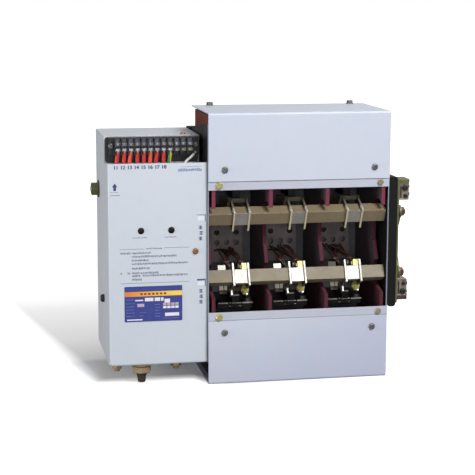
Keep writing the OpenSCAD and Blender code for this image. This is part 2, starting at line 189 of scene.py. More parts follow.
def join(pieces, name):
    """Makes one piece of several."""
    only(pieces[0])
    for piece in pieces:
        piece.select_set(True)
    bpy.ops.object.join()
    return named(name)


def cut_away(piece, cutter):
    """Takes the cutter's shape out of the piece."""
    only(piece)
    cut = piece.modifiers.new("cut", "BOOLEAN")
    cut.operation = "DIFFERENCE"
    cut.object = cutter
    bpy.ops.object.modifier_apply(modifier=cut.name)
    bpy.data.objects.remove(cutter)


# %% [markdown]
# A piece starts as a cylinder, a block, a turned profile, a filled outline or a strand, all in mm. What
# repeats is modelled once on the origin and stamped: each copy gets its own mesh with its place in it.

# %% Helpers for starting and placing pieces
MERGE_REACH = 1e-7


def start_cylinder(name, radius, height, sides=32, base=0.0):
    """A cylinder in mm that stands on its base, to be shaped further."""
    only(None)
    bpy.ops.mesh.primitive_cylinder_add(
        vertices=sides, radius=radius * MM, depth=height * MM, location=(0, 0, (base + height / 2) * MM))
    piece = named(name)
    apply_place()
    return piece


def start_block(name, low, high):
    """A block between two corners in mm, to be shaped further."""
    only(None)
    bpy.ops.mesh.primitive_cube_add(size=1, location=[(a + b) / 2 * MM for a, b in zip(low, high)])
    piece = named(name)
    piece.scale = [(b - a) * MM for a, b in zip(low, high)]
    apply_place()
    return piece


def turned(name, profile, steps=32):
    """Spins a profile of radius and height, in mm, about Z, as a lathe does."""
    mesh = bpy.data.meshes.new(name)
    mesh.from_pydata([(radius * MM, 0, height * MM) for radius, height in profile],
                     [(rank, rank + 1) for rank in range(len(profile) - 1)], [])
    piece = link_new(name, mesh)
    edit_all()
    bpy.ops.mesh.spin(steps=steps, angle=2 * math.pi, center=(0, 0, 0), axis=(0, 0, 1))
    bpy.ops.mesh.select_all(action="SELECT")
    bpy.ops.mesh.remove_doubles(threshold=MERGE_REACH)
    bpy.ops.mesh.normals_make_consistent(inside=False)
    return smooth(piece)


def prism(name, outline, height):
    """Fills an outline of points in mm and extrudes it upward."""
    mesh = bpy.data.meshes.new(name)
    mesh.from_pydata([(x * MM, y * MM, 0) for x, y in outline], [], [list(range(len(outline)))])
    piece = link_new(name, mesh)
    edit_all()
    move_up(height)
    bpy.ops.mesh.select_all(action="SELECT")
    bpy.ops.mesh.normals_make_consistent(inside=False)
    return only(piece)


def rope(name, points, radius):
    """A round strand along points in mm, as a mesh with closed ends."""
    path = bpy.data.curves.new(name, "CURVE")
    path.dimensions = "3D"
    path.bevel_depth = radius * MM
    path.bevel_resolution = 3
    path.use_fill_caps = True
    line = path.splines.new("POLY")
    line.points.add(len(points) - 1)
    for spot, point in zip(line.points, points):
        spot.co = [value * MM for value in point] + [1]
    link_new(name, path)
    bpy.ops.object.convert(target="MESH")
    return smooth(named(name), 50)


def drop(*models):
    """Removes models that were only there to be copied."""
    for model in models:
        bpy.data.objects.remove(model)


FACING = {
    "up": Matrix.Identity(4),
    "down": Matrix.Rotation(math.pi, 4, "X"),
    "front": Matrix.Rotation(math.pi / 2, 4, "X"),
    "back": Matrix.Rotation(-math.pi / 2, 4, "X"),
    "left": Matrix.Rotation(-math.pi / 2, 4, "Y"),
    "right": Matrix.Rotation(math.pi / 2, 4, "Y"),
}


def stamp(model, name, spot, facing="up", spin=0.0):
    """Copies a model that was made on the origin, turns it and puts the place into its mesh."""
    only(model)
    bpy.ops.object.duplicate(linked=False)
    copy = named(name)
    moved = Matrix.Translation(Vector(spot) * MM) @ (FACING[facing] if isinstance(facing, str) else facing)
    copy.matrix_world = moved @ Matrix.Rotation(math.radians(spin), 4, "Z")
    apply_place()
    return copy


def settle(piece, slot, made, body="frame"):
    """Gives a finished piece its material and lets it ride on a body. The slot is not used."""
    piece.data.materials.clear()
    piece.data.materials.append(made)
    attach(piece, body)
    return piece


def box_mm(node):
    """The low and the high corner of a solid, in mm."""
    return [[value / MM for value in corner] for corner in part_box(node)]


# %% [markdown]
# Colours are written as they look on a screen and turned into the linear values that shaders use.
# The next helpers place nodes in a tree, so that the finishes below read as short recipes.

# %% Helpers for shader nodes
def colour(red, green, blue):
    """A screen colour from 0 to 255 as linear values."""
    shares = [value / 255 for value in (red, green, blue)]
    return [s / 12.92 if s <= 0.04045 else ((s + 0.055) / 1.055) ** 2.4 for s in shares] + [1.0]


def feed(tree, socket, value):
    """Links an output to a socket, or sets the socket's own value."""
    if isinstance(value, bpy.types.NodeSocket):
        tree.links.new(value, socket)
    else:
        socket.default_value = value


def put(tree, kind, settings=None, **sockets):
    """Adds a shader node, sets its options and gives its sockets a value or a link."""
    made = tree.nodes.new("ShaderNode" + kind)
    for key, value in (settings or {}).items():
        setattr(made, key, value)
    for key, value in sockets.items():
        feed(tree, made.inputs[key.replace("_", " ")], value)
    return made


def mix_colour(tree, factor, first, second):
    """A colour mix of two values or links."""
    made = tree.nodes.new("ShaderNodeMix")
    made.data_type = "RGBA"
    for socket, value in zip((0, 6, 7), (factor, first, second)):
        feed(tree, made.inputs[socket], value)
    return made.outputs[2]


def reckon(tree, operation, *values, clamp=False):
    """A math node on values or links."""
    made = put(tree, "Math", {"operation": operation, "use_clamp": clamp})
    for socket, value in zip(made.inputs, values):
        feed(tree, socket, value)
    return made.outputs[0]


def reckon_vector(tree, operation, *values):
    """A vector math node on values or links."""
    made = put(tree, "VectorMath", {"operation": operation})
    for socket, value in zip(made.inputs, values):
        feed(tree, socket, value)
    return made.outputs


def spread(tree, value, low, high, to_low=0.0, to_high=1.0):
    """Maps a value from one range to another."""
    made = put(tree, "MapRange", Value=value, From_Min=low, From_Max=high, To_Min=to_low, To_Max=to_high)
    return made.outputs[0]


def place_in(tree):
    """The place in the part's frame, in m."""
    return put(tree, "TexCoord").outputs["Object"]


def normal_along(tree, axis):
    """The share of the normal along an axis."""
    return put(tree, "SeparateXYZ", Vector=put(tree, "NewGeometry").outputs["Normal"]).outputs[axis]


def noise(tree, place, scale, detail):
    """A noise from 0 to 1."""
    return put(tree, "TexNoise", Vector=place, Scale=scale, Detail=detail).outputs[0]


def new_group(name, takes, gives):
    """A node group with named inputs and outputs."""
    group = bpy.data.node_groups.new(name, "ShaderNodeTree")
    for label, kind, value in takes:
        socket = group.interface.new_socket(label, in_out="INPUT", socket_type="NodeSocket" + kind)
        socket.default_value = value
    for label, kind in gives:
        group.interface.new_socket(label, in_out="OUTPUT", socket_type="NodeSocket" + kind)
    return group, group.nodes.new("NodeGroupInput").outputs, group.nodes.new("NodeGroupOutput").inputs


# %% [markdown]
# Four effects come back on nearly every surface of the switch, so each is a node group with its own
# inputs. Mottle is the cloudy change of tone in paint and mouldings. Relief is the fine bump of a
# surface, which a long stretch turns into brush lines or fibres. Edge wear finds the edges with a Bevel
# node, because the solids come as loose triangles, and gives a soft edge normal as well as a mask.
# Settled dust lies on what faces upward.

# %% Node groups for mottle and relief
FINE_STEP = 9.0
BROAD_SHARE, FINE_SHARE = 0.65, 0.35
MOTTLE_GAIN = 2.4

mottle, takes, gives = new_group(
    "mottle", [("Scale", "Float", 10.0), ("Contrast", "Float", 1.0)], [("Value", "Float")])
place = place_in(mottle)
broad = noise(mottle, place, takes["Scale"], 3.0)
fine = noise(mottle, place, reckon(mottle, "MULTIPLY", takes["Scale"], FINE_STEP), 4.0)
both = reckon(mottle, "ADD", reckon(mottle, "MULTIPLY", broad, BROAD_SHARE),
              reckon(mottle, "MULTIPLY", fine, FINE_SHARE))
centred = reckon(mottle, "MULTIPLY", reckon(mottle, "SUBTRACT", both, 0.5), takes["Contrast"])
raised = reckon(mottle, "MULTIPLY", centred, MOTTLE_GAIN)
feed(mottle, gives["Value"], reckon(mottle, "ADD", raised, 0.5, clamp=True))

relief, takes, gives = new_group(
    "relief", [("Scale", "Float", 600.0), ("Stretch", "Vector", (1, 1, 1))], [("Height", "Float")])
pulled = reckon_vector(relief, "MULTIPLY", place_in(relief), takes["Stretch"])[0]
feed(relief, gives["Height"], noise(relief, pulled, takes["Scale"], 3.0))
print("groups:", mottle.name, relief.name)

# %% Node groups for edge wear and dust
FLAT_AGREE, EDGE_AGREE = 0.995, 0.88
CHIPS = (0.42, 0.62)
LYING = (0.5, 1.0)
DUST_CLOUD = (0.35, 0.7, 0.2, 1.0)

edge_wear, takes, gives = new_group(
    "edge_wear",
    [("Radius", "Float", 0.0005), ("Breakup", "Float", 120.0), ("Amount", "Float", 0.5)],
    [("Mask", "Float"), ("Normal", "Vector")])
round_edge = put(edge_wear, "Bevel", {"samples": 6}, Radius=takes["Radius"]).outputs[0]
flat = put(edge_wear, "NewGeometry").outputs["Normal"]
agree = reckon_vector(edge_wear, "DOT_PRODUCT", round_edge, flat)["Value"]
edge = spread(edge_wear, agree, FLAT_AGREE, EDGE_AGREE)
chips = noise(edge_wear, place_in(edge_wear), takes["Breakup"], 5.0)
chipped = reckon(edge_wear, "MULTIPLY", edge, spread(edge_wear, chips, *CHIPS))
feed(edge_wear, gives["Mask"], reckon(edge_wear, "MULTIPLY", chipped, takes["Amount"]))
feed(edge_wear, gives["Normal"], round_edge)

dust, takes, gives = new_group(
    "settled_dust", [("Amount", "Float", 0.2), ("Scale", "Float", 30.0)], [("Mask", "Float")])
lying = spread(dust, normal_along(dust, "Z"), *LYING)
cloud = spread(dust, noise(dust, place_in(dust), takes["Scale"], 6.0), *DUST_CLOUD)
feed(dust, gives["Mask"], reckon(dust, "MULTIPLY", reckon(dust, "MULTIPLY", lying, cloud), takes["Amount"]))
print("groups:", edge_wear.name, dust.name)

# %% [markdown]
# Every finish is the same short stack: two tones mixed by the mottle, dust on top, worn edges over
# that, and a bump from the relief on the soft edge normal. The numbers make paint, plating or moulding
# of it. A grain is a scale, a stretch and a depth, an edge is a radius in m and an amount. What is the
# same all over, such as the coat, is set on the shader itself.

# %% One recipe for all finishes
EVEN = (1, 1, 1)
SPRAYED = (900.0, EVEN, 0.03)
PLATED = (900.0, EVEN, 0.05)
FINE_PLATED = (1200.0, EVEN, 0.05)
DUST_TONE = colour(186, 180, 170)
DUST_ROUGHNESS = 0.3
GRAIN_TINT = (0.3, 0.7, 0.0, 0.25)
COAT_ROUGHNESS = 0.25
BUMP_GAIN, BUMP_REACH = 4, 0.0004
top_colour = {}


def use(tree, group, **sockets):
    """Places a node group in a material."""
    made = put(tree, "Group", {"node_tree": group})
    for key, value in sockets.items():
        feed(tree, made.inputs[key], value)
    return made.outputs


def finish(name, main, second, worn, rough, metal=0.0, tone=60.0, grain=PLATED,
           edge=(0.0003, 0.6), dusty=0.03, coat=0.0, shine=0.5):
    """A finish of two tones with grain, worn edges and dust."""
    scale, stretch, depth = grain
    made = bpy.data.materials.new(name)
    made.use_nodes = True
    tree = made.node_tree
    shader = tree.nodes["Principled BSDF"].inputs
    for key, value in (("Coat Weight", coat), ("Coat Roughness", COAT_ROUGHNESS),
                       ("Specular IOR Level", shine), ("Metallic", metal)):
        shader[key].default_value = value
    value = use(tree, mottle, Scale=tone)["Value"]
    height = use(tree, relief, Scale=scale, Stretch=stretch)["Height"]
    worn_edge = use(tree, edge_wear, Radius=edge[0], Amount=edge[1])
    lying = use(tree, dust, Amount=dusty)["Mask"]
    toned = mix_colour(tree, value, colour(*main), colour(*second))
    toned = mix_colour(tree, spread(tree, height, *GRAIN_TINT), toned, colour(*second))
    dusted = mix_colour(tree, lying, toned, DUST_TONE)
    top_colour[made.name] = mix_colour(tree, worn_edge["Mask"], dusted, colour(*worn))
    feed(tree, shader["Base Color"], top_colour[made.name])
    uneven = reckon(tree, "ADD", reckon(tree, "MULTIPLY", value, 0.5), reckon(tree, "MULTIPLY", height, 0.5))
    uneven = spread(tree, uneven, 0.25, 0.75, *rough)
    dull = reckon(tree, "MULTIPLY", lying, DUST_ROUGHNESS)
    feed(tree, shader["Roughness"], reckon(tree, "ADD", uneven, dull, clamp=True))
    bump = put(tree, "Bump", Strength=depth * BUMP_GAIN, Distance=BUMP_REACH, Height=height,
               Normal=worn_edge["Normal"])
    feed(tree, shader["Normal"], bump.outputs[0])
    return made


# %% [markdown]
# Some places of a finish have another tone: a wiped edge, a dull back, a joint line. A mask says where.
# Each helper here gives a recipe for a mask, which is built in the tree of the material that needs it,
# and several masks and shares are multiplied.

# %% Masks for places with another tone
OPEN_TILT = math.radians(26)
SHAFT_Y, SHAFT_A_Z, SHAFT_B_Z = -51.0, 232.5, 146.0


def over(made, tone, *masks, rough=None):
    """Lays another tone over a finish where the product of the masks is one."""
    tree = made.node_tree
    shader = tree.nodes["Principled BSDF"].inputs
    built = [mask(tree) if callable(mask) else mask for mask in masks]
    mask = built[0]
    for other in built[1:]:
        mask = reckon(tree, "MULTIPLY", mask, other)
    top_colour[made.name] = mix_colour(tree, mask, top_colour[made.name], colour(*tone))
    feed(tree, shader["Base Color"], top_colour[made.name])
    if rough is not None:
        mixed = tree.nodes.new("ShaderNodeMix")
        old = shader["Roughness"].links[0].from_socket
        for socket, value in zip((0, 2, 3), (mask, old, rough)):
            feed(tree, mixed.inputs[socket], value)
        feed(tree, shader["Roughness"], mixed.outputs[0])


def along(tree, axis):
    """The place along an axis of the frame, in m."""
    return put(tree, "SeparateXYZ", Vector=place_in(tree)).outputs[axis]


def within(axis, low, high):
    """A mask that is one between two places along an axis of the frame, in mm."""
    middle, half = (low + high) / 2 * MM, (high - low) / 2 * MM
    return lambda tree: reckon(tree, "COMPARE", along(tree, axis), middle, half)


def fade(axis, start, end):
    """A mask that rises from zero to one between two places along an axis of the frame, in mm."""
    return lambda tree: spread(tree, along(tree, axis), start * MM, end * MM)


def behind(shaft_z, lean, start, end):
    """A mask that rises with the depth in a leaning knife, in mm from the axis of its shaft."""
    way = (0, math.cos(OPEN_TILT), lean * math.sin(OPEN_TILT))
    axis = SHAFT_Y * math.cos(OPEN_TILT) + lean * shaft_z * math.sin(OPEN_TILT)

    def mask(tree):
        depth = reckon_vector(tree, "DOT_PRODUCT", place_in(tree), way)["Value"]
        return spread(tree, depth, (axis + start) * MM, (axis + end) * MM)
    return mask


def sideways(tree):
    """A mask that is one on faces that look to the left or right."""
    return reckon(tree, "ABSOLUTE", normal_along(tree, "X"))


def outside(mask):
    """The opposite of a mask."""
    return lambda tree: reckon(tree, "SUBTRACT", 1.0, mask(tree))


def worn_edges(amount):
    """A mask of the edges, as the wear on them gives it."""
    return lambda tree: use(tree, edge_wear, Radius=0.5 * MM, Amount=amount)["Mask"]


def clouds(scale, contrast, start, end, share):
    """A mask of soft clouds, up to a share."""
    return lambda tree: spread(
        tree, use(tree, mottle, Scale=scale, Contrast=contrast)["Value"], start, end, 0.0, share)


print("tilt of an open knife in degrees:", round(math.degrees(OPEN_TILT)))

# %% [markdown]
# The sheet parts are sprayed in a pale grey-blue with a faint orange peel. The covers carry a little more
# violet than the panel, with a painted reflection in soft bluish clouds and painted shade towards the bottom
# and the right of the bottom cover. The rails between them are a shade darker, and the walls of the control
# box are plainer and greyer. A thin painted shadow darkens each rail where it meets its cover, and a painted
# highlight lies on the front edge of the black side plates.

# %% Paint finishes
PAINTED_SHADE_VIOLET = (172, 170, 196)
cover_paint = finish("cover_paint", (206, 210, 223), (197, 203, 218), (232, 236, 244), (0.36, 0.5), tone=7.0,
                     grain=SPRAYED, edge=(0.0008, 0.7), dusty=0.06, coat=0.15)
# Painted reflection: soft bluish clouds on the covers.
over(cover_paint, (188, 208, 224), clouds(5.0, 1.2, 0.45, 0.85, 0.4))
# Painted shade: the bottom cover darkens towards the floor and to the right.
over(cover_paint, PAINTED_SHADE_VIOLET, fade("Z", 84, 8), 0.3)
over(cover_paint, PAINTED_SHADE_VIOLET, fade("X", -60, 120), fade("Z", 92, 90), 0.35)
panel_paint = finish("panel_paint", (208, 214, 223), (200, 207, 216), (232, 236, 242), (0.36, 0.5), tone=7.0,
                     grain=SPRAYED, edge=(0.0007, 0.6), dusty=0.05, coat=0.15)
rail_paint = finish("rail_paint", (192, 195, 208), (184, 188, 202), (224, 228, 236), (0.4, 0.54), tone=7.0,
                    grain=SPRAYED, edge=(0.0006, 0.5), dusty=0.05, coat=0.1)
# Painted shadow: a thin dark line on each rail along the edge of its cover.
for low, high in ((281.7, 283.4), (88.6, 90.2)):
    over(rail_paint, (150, 157, 172), within("Z", low, high))
wall_paint = finish("wall_paint", (206, 211, 219), (196, 201, 210), (222, 225, 230), (0.42, 0.56), tone=7.0,
                    grain=SPRAYED, edge=(0.0007, 0.5), dusty=0.06, coat=0.1)
black_paint = finish("black_paint", (24, 23, 24), (16, 15, 16), (70, 68, 68), (0.45, 0.65), tone=14.0,
                     grain=(1200.0, EVEN, 0.06), edge=(0.0005, 0.4), dusty=0.05, shine=0.2)
# Painted highlight on the front edge of the black side plates.
over(black_paint, (138, 146, 160), within("Y", -68.5, -67.3), rough=0.4)
print("paints:", cover_paint.name, panel_paint.name, wall_paint.name, black_paint.name)

# %% [markdown]
# The insulation is moulded or pressed. The barriers between the poles are maroon polyester with glass
# fibres. Painted shade darkens their broad sides and their parts deeper in the window and turns the outer
# face of the end barrier brown, and the barriers are darker towards the bottom. The pole bases are dark grey,
# the crossbars are drawn profiles of tan glass fibre, so their relief is stretched along the bar, with
# painted shade on the faces that look down and on the lower bar, and the plate at the right end is black
# laminate.

# %% Finishes of barriers, bases and crossbars
barrier_moulding = finish("barrier_moulding", (134, 60, 82), (112, 50, 68), (134, 62, 84), (0.55, 0.72),
                          tone=26.0, grain=(420.0, EVEN, 0.08), edge=(0.0007, 0.4), shine=0.12)
outer_face = (within("X", -124, -122), sideways)
# Painted shade: the barriers darken deeper in the window.
over(barrier_moulding, (84, 38, 50), fade("Y", -50, -40), 0.9)
# Painted shade on the broad sides of the barriers.
over(barrier_moulding, (94, 82, 90), sideways)
over(barrier_moulding, (76, 40, 49), fade("Z", 134, 122), 0.85)
# Painted shade: the outer face of the end barrier is brown, and it is darker towards the bottom.
over(barrier_moulding, (104, 52, 40), *outer_face)
over(barrier_moulding, (38, 27, 25), *outer_face, fade("Z", 140, 70))
base_moulding = finish("base_moulding", (110, 108, 113), (84, 82, 87), (90, 82, 80), (0.5, 0.7), tone=22.0,
                       grain=(380.0, EVEN, 0.08), edge=(0.0006, 0.4), dusty=0.05)


def underneath(tree):
    """A mask that rises on faces that look downward, up to a half."""
    return spread(tree, normal_along(tree, "Z"), -0.2, -0.42, 0.0, 0.5)


tan_insulation = finish("tan_insulation", (156, 141, 113), (132, 117, 90), (198, 184, 146), (0.4, 0.58),
                        tone=16.0, grain=(900.0, (0.03, 1, 1), 0.07), edge=(0.0009, 0.9), dusty=0.06)
# Painted shade on the faces of the crossbars that look downward.
over(tan_insulation, (88, 76, 58), underneath)
# Painted shade: the lower crossbar is a little darker.
over(tan_insulation, (122, 110, 88), fade("Z", 200, 180), 0.75)
print("insulation:", barrier_moulding.name, base_moulding.name, tan_insulation.name)

# %% Finishes of laminate, plastics and rubber
black_laminate = finish("black_laminate", (18, 17, 16), (12, 11, 11), (60, 60, 48), (0.45, 0.62), tone=12.0,
                        grain=(700.0, (0.4, 1, 0.05), 0.05), edge=(0.0006, 0.5), dusty=0.04, shine=0.2)
grey_moulding = finish("grey_moulding", (166, 152, 136), (90, 82, 77), (146, 136, 122), (0.45, 0.6),
                       tone=130.0, grain=(520.0, EVEN, 0.06), edge=(0.0004, 0.6), dusty=0.06)
marker_grey = finish("marker_grey", (92, 95, 106), (64, 66, 76), (128, 130, 140), (0.4, 0.55),
                     grain=(520.0, EVEN, 0.06), edge=(0.0004, 0.6), dusty=0.04)
black_plastic = finish("black_plastic", (30, 30, 35), (20, 20, 24), (84, 84, 92), (0.3, 0.45), tone=30.0,
                       grain=(800.0, EVEN, 0.03), edge=(0.0004, 0.5), dusty=0.05, shine=0.35)
rubber = finish("rubber", (72, 52, 44), (50, 37, 32), (96, 76, 64), (0.55, 0.75), tone=40.0,
                grain=(600.0, EVEN, 0.08), edge=(0.0004, 0.4), dusty=0.08)
print("plastics:", black_laminate.name, grey_moulding.name, black_plastic.name, rubber.name)

# %% [markdown]
# The metals are plated. The lower knives are silvered and bright at the front. The upper knives are the
# same parts with a darker copy of that finish, which is painted shade, and painted highlights on their fronts
# and on the top corners of their blades. Painted shade darkens the deeper parts of the knives, the flat sides
# of all blades, the upper fingers and the gaps beside the clamp plates, and a painted highlight brightens the
# low ends of the lower fingers. The fixed contacts are nearly black with painted shade, lighter at their back
# ends, and have painted highlights on their tabs.

# %% Finishes of the knives
POLES = (-80.0, 0.0, 80.0)


def beside(pole, low, high):
    """A mask between two places along X, in mm from the middle of a pole."""
    return within("X", pole + low, pole + high)


fingers = [beside(pole, -27.0, -15.0) for pole in POLES]
deep = behind(SHAFT_B_Z, -1, -8.0, -5.0)
front, low_end = outside(deep), outside(fade("Z", 140.0, 142.0))
silvered_copper = finish("silvered_copper", (206, 204, 198), (184, 181, 174), (232, 229, 220), (0.44, 0.58),
                         metal=0.5, tone=40.0, grain=(700.0, (1, 0.06, 1), 0.06), edge=(0.0004, 0.6))
# Painted shade: the lower knives are dark deeper in, except at the fingers.
over(silvered_copper, (66, 58, 46), deep, *[outside(finger) for finger in fingers], 0.9, rough=0.5)
# Painted shade on the flat sides of the lower blades.
over(silvered_copper, (60, 55, 46), sideways, 0.85, rough=0.5)
# Painted highlight on the low ends of the lower fingers, with a darker band below it.
for finger in fingers:
    over(silvered_copper, (252, 246, 230), finger, low_end, rough=0.5)
    over(silvered_copper, (66, 60, 50), finger, fade("Z", 126.6, 125.4), rough=0.5)
over(silvered_copper, (52, 48, 42), fingers[-1], fade("Z", 148.0, 150.0), rough=0.5)
# Painted shade in the gaps beside the clamp plates and the fingers.
for pole in POLES:
    for low, high, where in ((8.3, 9.5, front), (-9.5, -8.7, front), (-20.8, -19.4, low_end)):
        over(silvered_copper, (50, 46, 40), beside(pole, low, high), where, 0.85, rough=0.6)
over(silvered_copper, (230, 226, 212), worn_edges(0.8), rough=0.4)
# The upper knives are the same parts as the lower ones: this darker copy of their finish is painted shade.
silver_with_painted_shade = finish("silver_with_painted_shade", (168, 164, 157), (138, 134, 127), (222, 210, 182), (0.36, 0.52),
                     metal=0.6, tone=30.0, grain=(700.0, (0.08, 1, 1), 0.05), edge=(0.0005, 0.9), dusty=0.02)
# Painted shade: the upper knives are a little darker deeper in.
over(silver_with_painted_shade, (160, 149, 130), behind(SHAFT_A_Z, 1, -9.6, -8.4), rough=0.5)
# Painted shade on the upper fingers, which lie under the top cover.
for finger in fingers:
    over(silver_with_painted_shade, (48, 43, 36), finger, rough=0.5)
# Painted shade on the flat sides of the upper blades.
over(silver_with_painted_shade, (70, 63, 50), sideways, 0.85, rough=0.45)
# Painted highlight on the front of the upper knives.
over(silver_with_painted_shade, (226, 212, 180), outside(behind(SHAFT_A_Z, 1, -11.6, -11.2)), 0.8, rough=0.4)
over(silver_with_painted_shade, (188, 174, 140), worn_edges(0.6), rough=0.4)
# Painted highlight on the top front corners of the upper blades.
over(silver_with_painted_shade, (252, 250, 244), fade("Z", 238.6, 239.8), outside(fade("Y", -60.0, -57.0)), rough=0.35)
print("knives:", silvered_copper.name, silver_with_painted_shade.name)

# %% Finishes of the fixed contacts
TAB_HIGHLIGHTS = ((-5.2, -3.6, 113.0, 124.0), (-5.2, 5.2, 113.6, 115.0), (-5.2, 5.2, 102.6, 103.6))
# Bright silver for the strips of painted highlight on the contact edges and for the blade ends.
bright_silver = finish("bright_silver", (240, 239, 236), (206, 203, 198), (252, 251, 248), (0.25, 0.4),
                      metal=0.3, tone=120.0, grain=(900.0, (0.1, 1, 1), 0.05), edge=(0.0003, 0.7), dusty=0.02)
# Nearly black: painted shade inside the window; the back ends are lighter.
contact_copper = finish("contact_copper", (32, 29, 27), (20, 18, 17), (84, 78, 68), (0.45, 0.62), metal=0.35,
                        tone=34.0, grain=(600.0, (1, 0.05, 1), 0.06), edge=(0.0006, 0.6), dusty=0.02)
over(contact_copper, (168, 158, 146), fade("Y", 68, 72), rough=0.4)
# Painted highlights on the tabs of the fixed contacts.
for pole in POLES:
    for low, high, foot, head in TAB_HIGHLIGHTS:
        over(contact_copper, (226, 220, 200), beside(pole, low, high), within("Z", foot, head),
             fade("Y", -20.0, -20.6), rough=0.35)
tinned_copper = finish("tinned_copper", (140, 131, 128), (108, 100, 98), (160, 150, 144), (0.45, 0.65),
                       metal=0.3, tone=40.0, grain=(500.0, (1, 1, 0.06), 0.06), edge=(0.0004, 0.5))
# Painted shadow in the bolt holes of the load contacts.
over(tinned_copper, (30, 27, 26), within("Y", 54.0, 62.0))
braid_copper = finish("braid_copper", (128, 88, 76), (60, 36, 34), (190, 160, 140), (0.35, 0.55), metal=0.5,
                      tone=160.0, grain=(2200.0, EVEN, 0.12), edge=(0.0002, 0.5))
print("contacts:", bright_silver.name, contact_copper.name, tinned_copper.name, braid_copper.name)

# %% [markdown]
# The small steel parts have a yellow passivated zinc that drifts between straw, green and a little pink,
# or plain zinc, tin or nickel. The nuts between the blades get a lighter copy of the yellow zinc, which is
# painted light. The gland is brass, and two screws of the box are plated with copper.

# %% Finishes of the small metal parts
shaft_steel = finish("shaft_steel", (176, 168, 140), (142, 134, 110), (206, 200, 180), (0.28, 0.45),
                     metal=0.7, grain=(900.0, (0.1, 1, 1), 0.05), dusty=0.05)
over(shaft_steel, (92, 68, 64), within("X", 149.5, 160.0), rough=0.4)
yellow_zinc = finish("yellow_zinc", (198, 184, 118), (154, 152, 92), (226, 220, 184), (0.3, 0.46), metal=0.55,
                     tone=70.0, dusty=0.04)
over(yellow_zinc, (196, 142, 132), clouds(44.0, 1.4, 0.62, 0.9, 0.5))
green_zinc = finish("green_zinc", (124, 124, 80), (88, 90, 58), (170, 168, 124), (0.35, 0.5), metal=0.45,
                    edge=(0.0004, 0.7))
# A lighter copy of the yellow zinc for the nuts in the shadow of the bar: painted light.
zinc_with_painted_light = finish("zinc_with_painted_light", (232, 230, 150), (204, 190, 104), (248, 246, 214), (0.28, 0.42),
                     metal=0.3, tone=90.0, edge=(0.0004, 0.7))
brass = finish("brass", (198, 178, 140), (142, 122, 92), (204, 180, 132), (0.3, 0.46), metal=0.6,
               edge=(0.0004, 0.7))
grey_steel = finish("grey_steel", (126, 128, 128), (88, 90, 92), (176, 176, 172), (0.3, 0.45), metal=0.55,
                    tone=90.0, grain=FINE_PLATED)
clamp_tin = finish("clamp_tin", (178, 181, 190), (134, 137, 148), (226, 226, 226), (0.3, 0.45), metal=0.5,
                   tone=140.0, grain=FINE_PLATED, edge=(0.0003, 0.7))
clamp_cream = finish("clamp_cream", (206, 204, 178), (150, 150, 132), (236, 234, 220), (0.35, 0.5), metal=0.3,
                     tone=140.0, grain=FINE_PLATED, edge=(0.0003, 0.7))
nickel = finish("nickel", (206, 205, 208), (168, 166, 172), (236, 234, 230), (0.22, 0.4), metal=0.7,
                tone=90.0, grain=FINE_PLATED)
dark_steel = finish("dark_steel", (66, 60, 60), (44, 40, 41), (126, 118, 112), (0.4, 0.55), metal=0.5,
                    tone=90.0, grain=FINE_PLATED, edge=(0.0003, 0.5), dusty=0.05)
copper_plate = finish("copper_plate", (176, 128, 88), (122, 84, 58), (222, 180, 128), (0.32, 0.48), metal=0.5,
                      tone=110.0, grain=FINE_PLATED)
print("small parts:", shaft_steel.name, yellow_zinc.name, green_zinc.name, nickel.name)

# %% [markdown]
# Sleeves are soft PVC with a little gloss, and one of them has two colours. The inks and the plate's
# lacquer are thin and satin, with a faint unevenness as a screen print has.

# %% Finishes of sleeves and prints
DRAWN = (900.0, (1, 1, 0.1), 0.04)
red_sleeve = finish("red_sleeve", (206, 58, 50), (176, 40, 40), (230, 110, 90), (0.3, 0.45),
                    grain=DRAWN, edge=(0.0004, 0.4), dusty=0.06)
for low, high in ((-234.5, -228.0), (-206.0, -199.0)):
    over(red_sleeve, (226, 92, 66), within("X", low, high), 0.7)
green_sleeve = finish("green_sleeve", (74, 140, 66), (56, 116, 52), (120, 170, 100), (0.3, 0.45),
                      grain=DRAWN, edge=(0.0004, 0.4), dusty=0.05)
over(green_sleeve, (196, 176, 70), fade("X", -174.9, -174.3))
pale_sleeve = finish("pale_sleeve", (234, 230, 222), (216, 211, 202), (240, 238, 232), (0.35, 0.5),
                     grain=(900.0, EVEN, 0.04), edge=(0.0004, 0.4), dusty=0.05)


def print_finish(name, tone, second):
    """A thin satin ink or lacquer."""
    return finish(name, tone, second, tone, (0.35, 0.5), tone=90.0, grain=(1400.0, EVEN, 0.03),
                  edge=(0.0001, 0.2), dusty=0.02)


plate_blue = print_finish("plate_blue", (58, 70, 146), (48, 58, 130))
plate_yellow = print_finish("plate_yellow", (232, 138, 52), (224, 126, 48))
over(plate_yellow, (248, 208, 84), fade("X", -240.0, -176.0))
plate_white = print_finish("plate_white", (240, 238, 242), (226, 222, 232))
plate_rose = print_finish("plate_rose", (206, 176, 196), (190, 160, 186))
plate_line = print_finish("plate_line", (124, 132, 190), (110, 118, 178))
plate_brown = print_finish("plate_brown", (120, 62, 36), (104, 52, 32))
grey_ink = print_finish("grey_ink", (118, 126, 144), (132, 140, 158))
blue_ink = print_finish("blue_ink", (54, 70, 112), (66, 82, 124))
top_ink = print_finish("top_ink", (104, 124, 170), (122, 141, 184))
dark_ink = print_finish("dark_ink", (38, 54, 98), (48, 64, 108))
pale_ink = print_finish("pale_ink", (234, 234, 240), (222, 224, 232))
print("sleeves and prints:", red_sleeve.name, green_sleeve.name, plate_blue.name, grey_ink.name)

# %% [markdown]
# The solids of the frame already have their shape, so they only get their finish. Like solids share one,
# and the start of a solid's name says which.

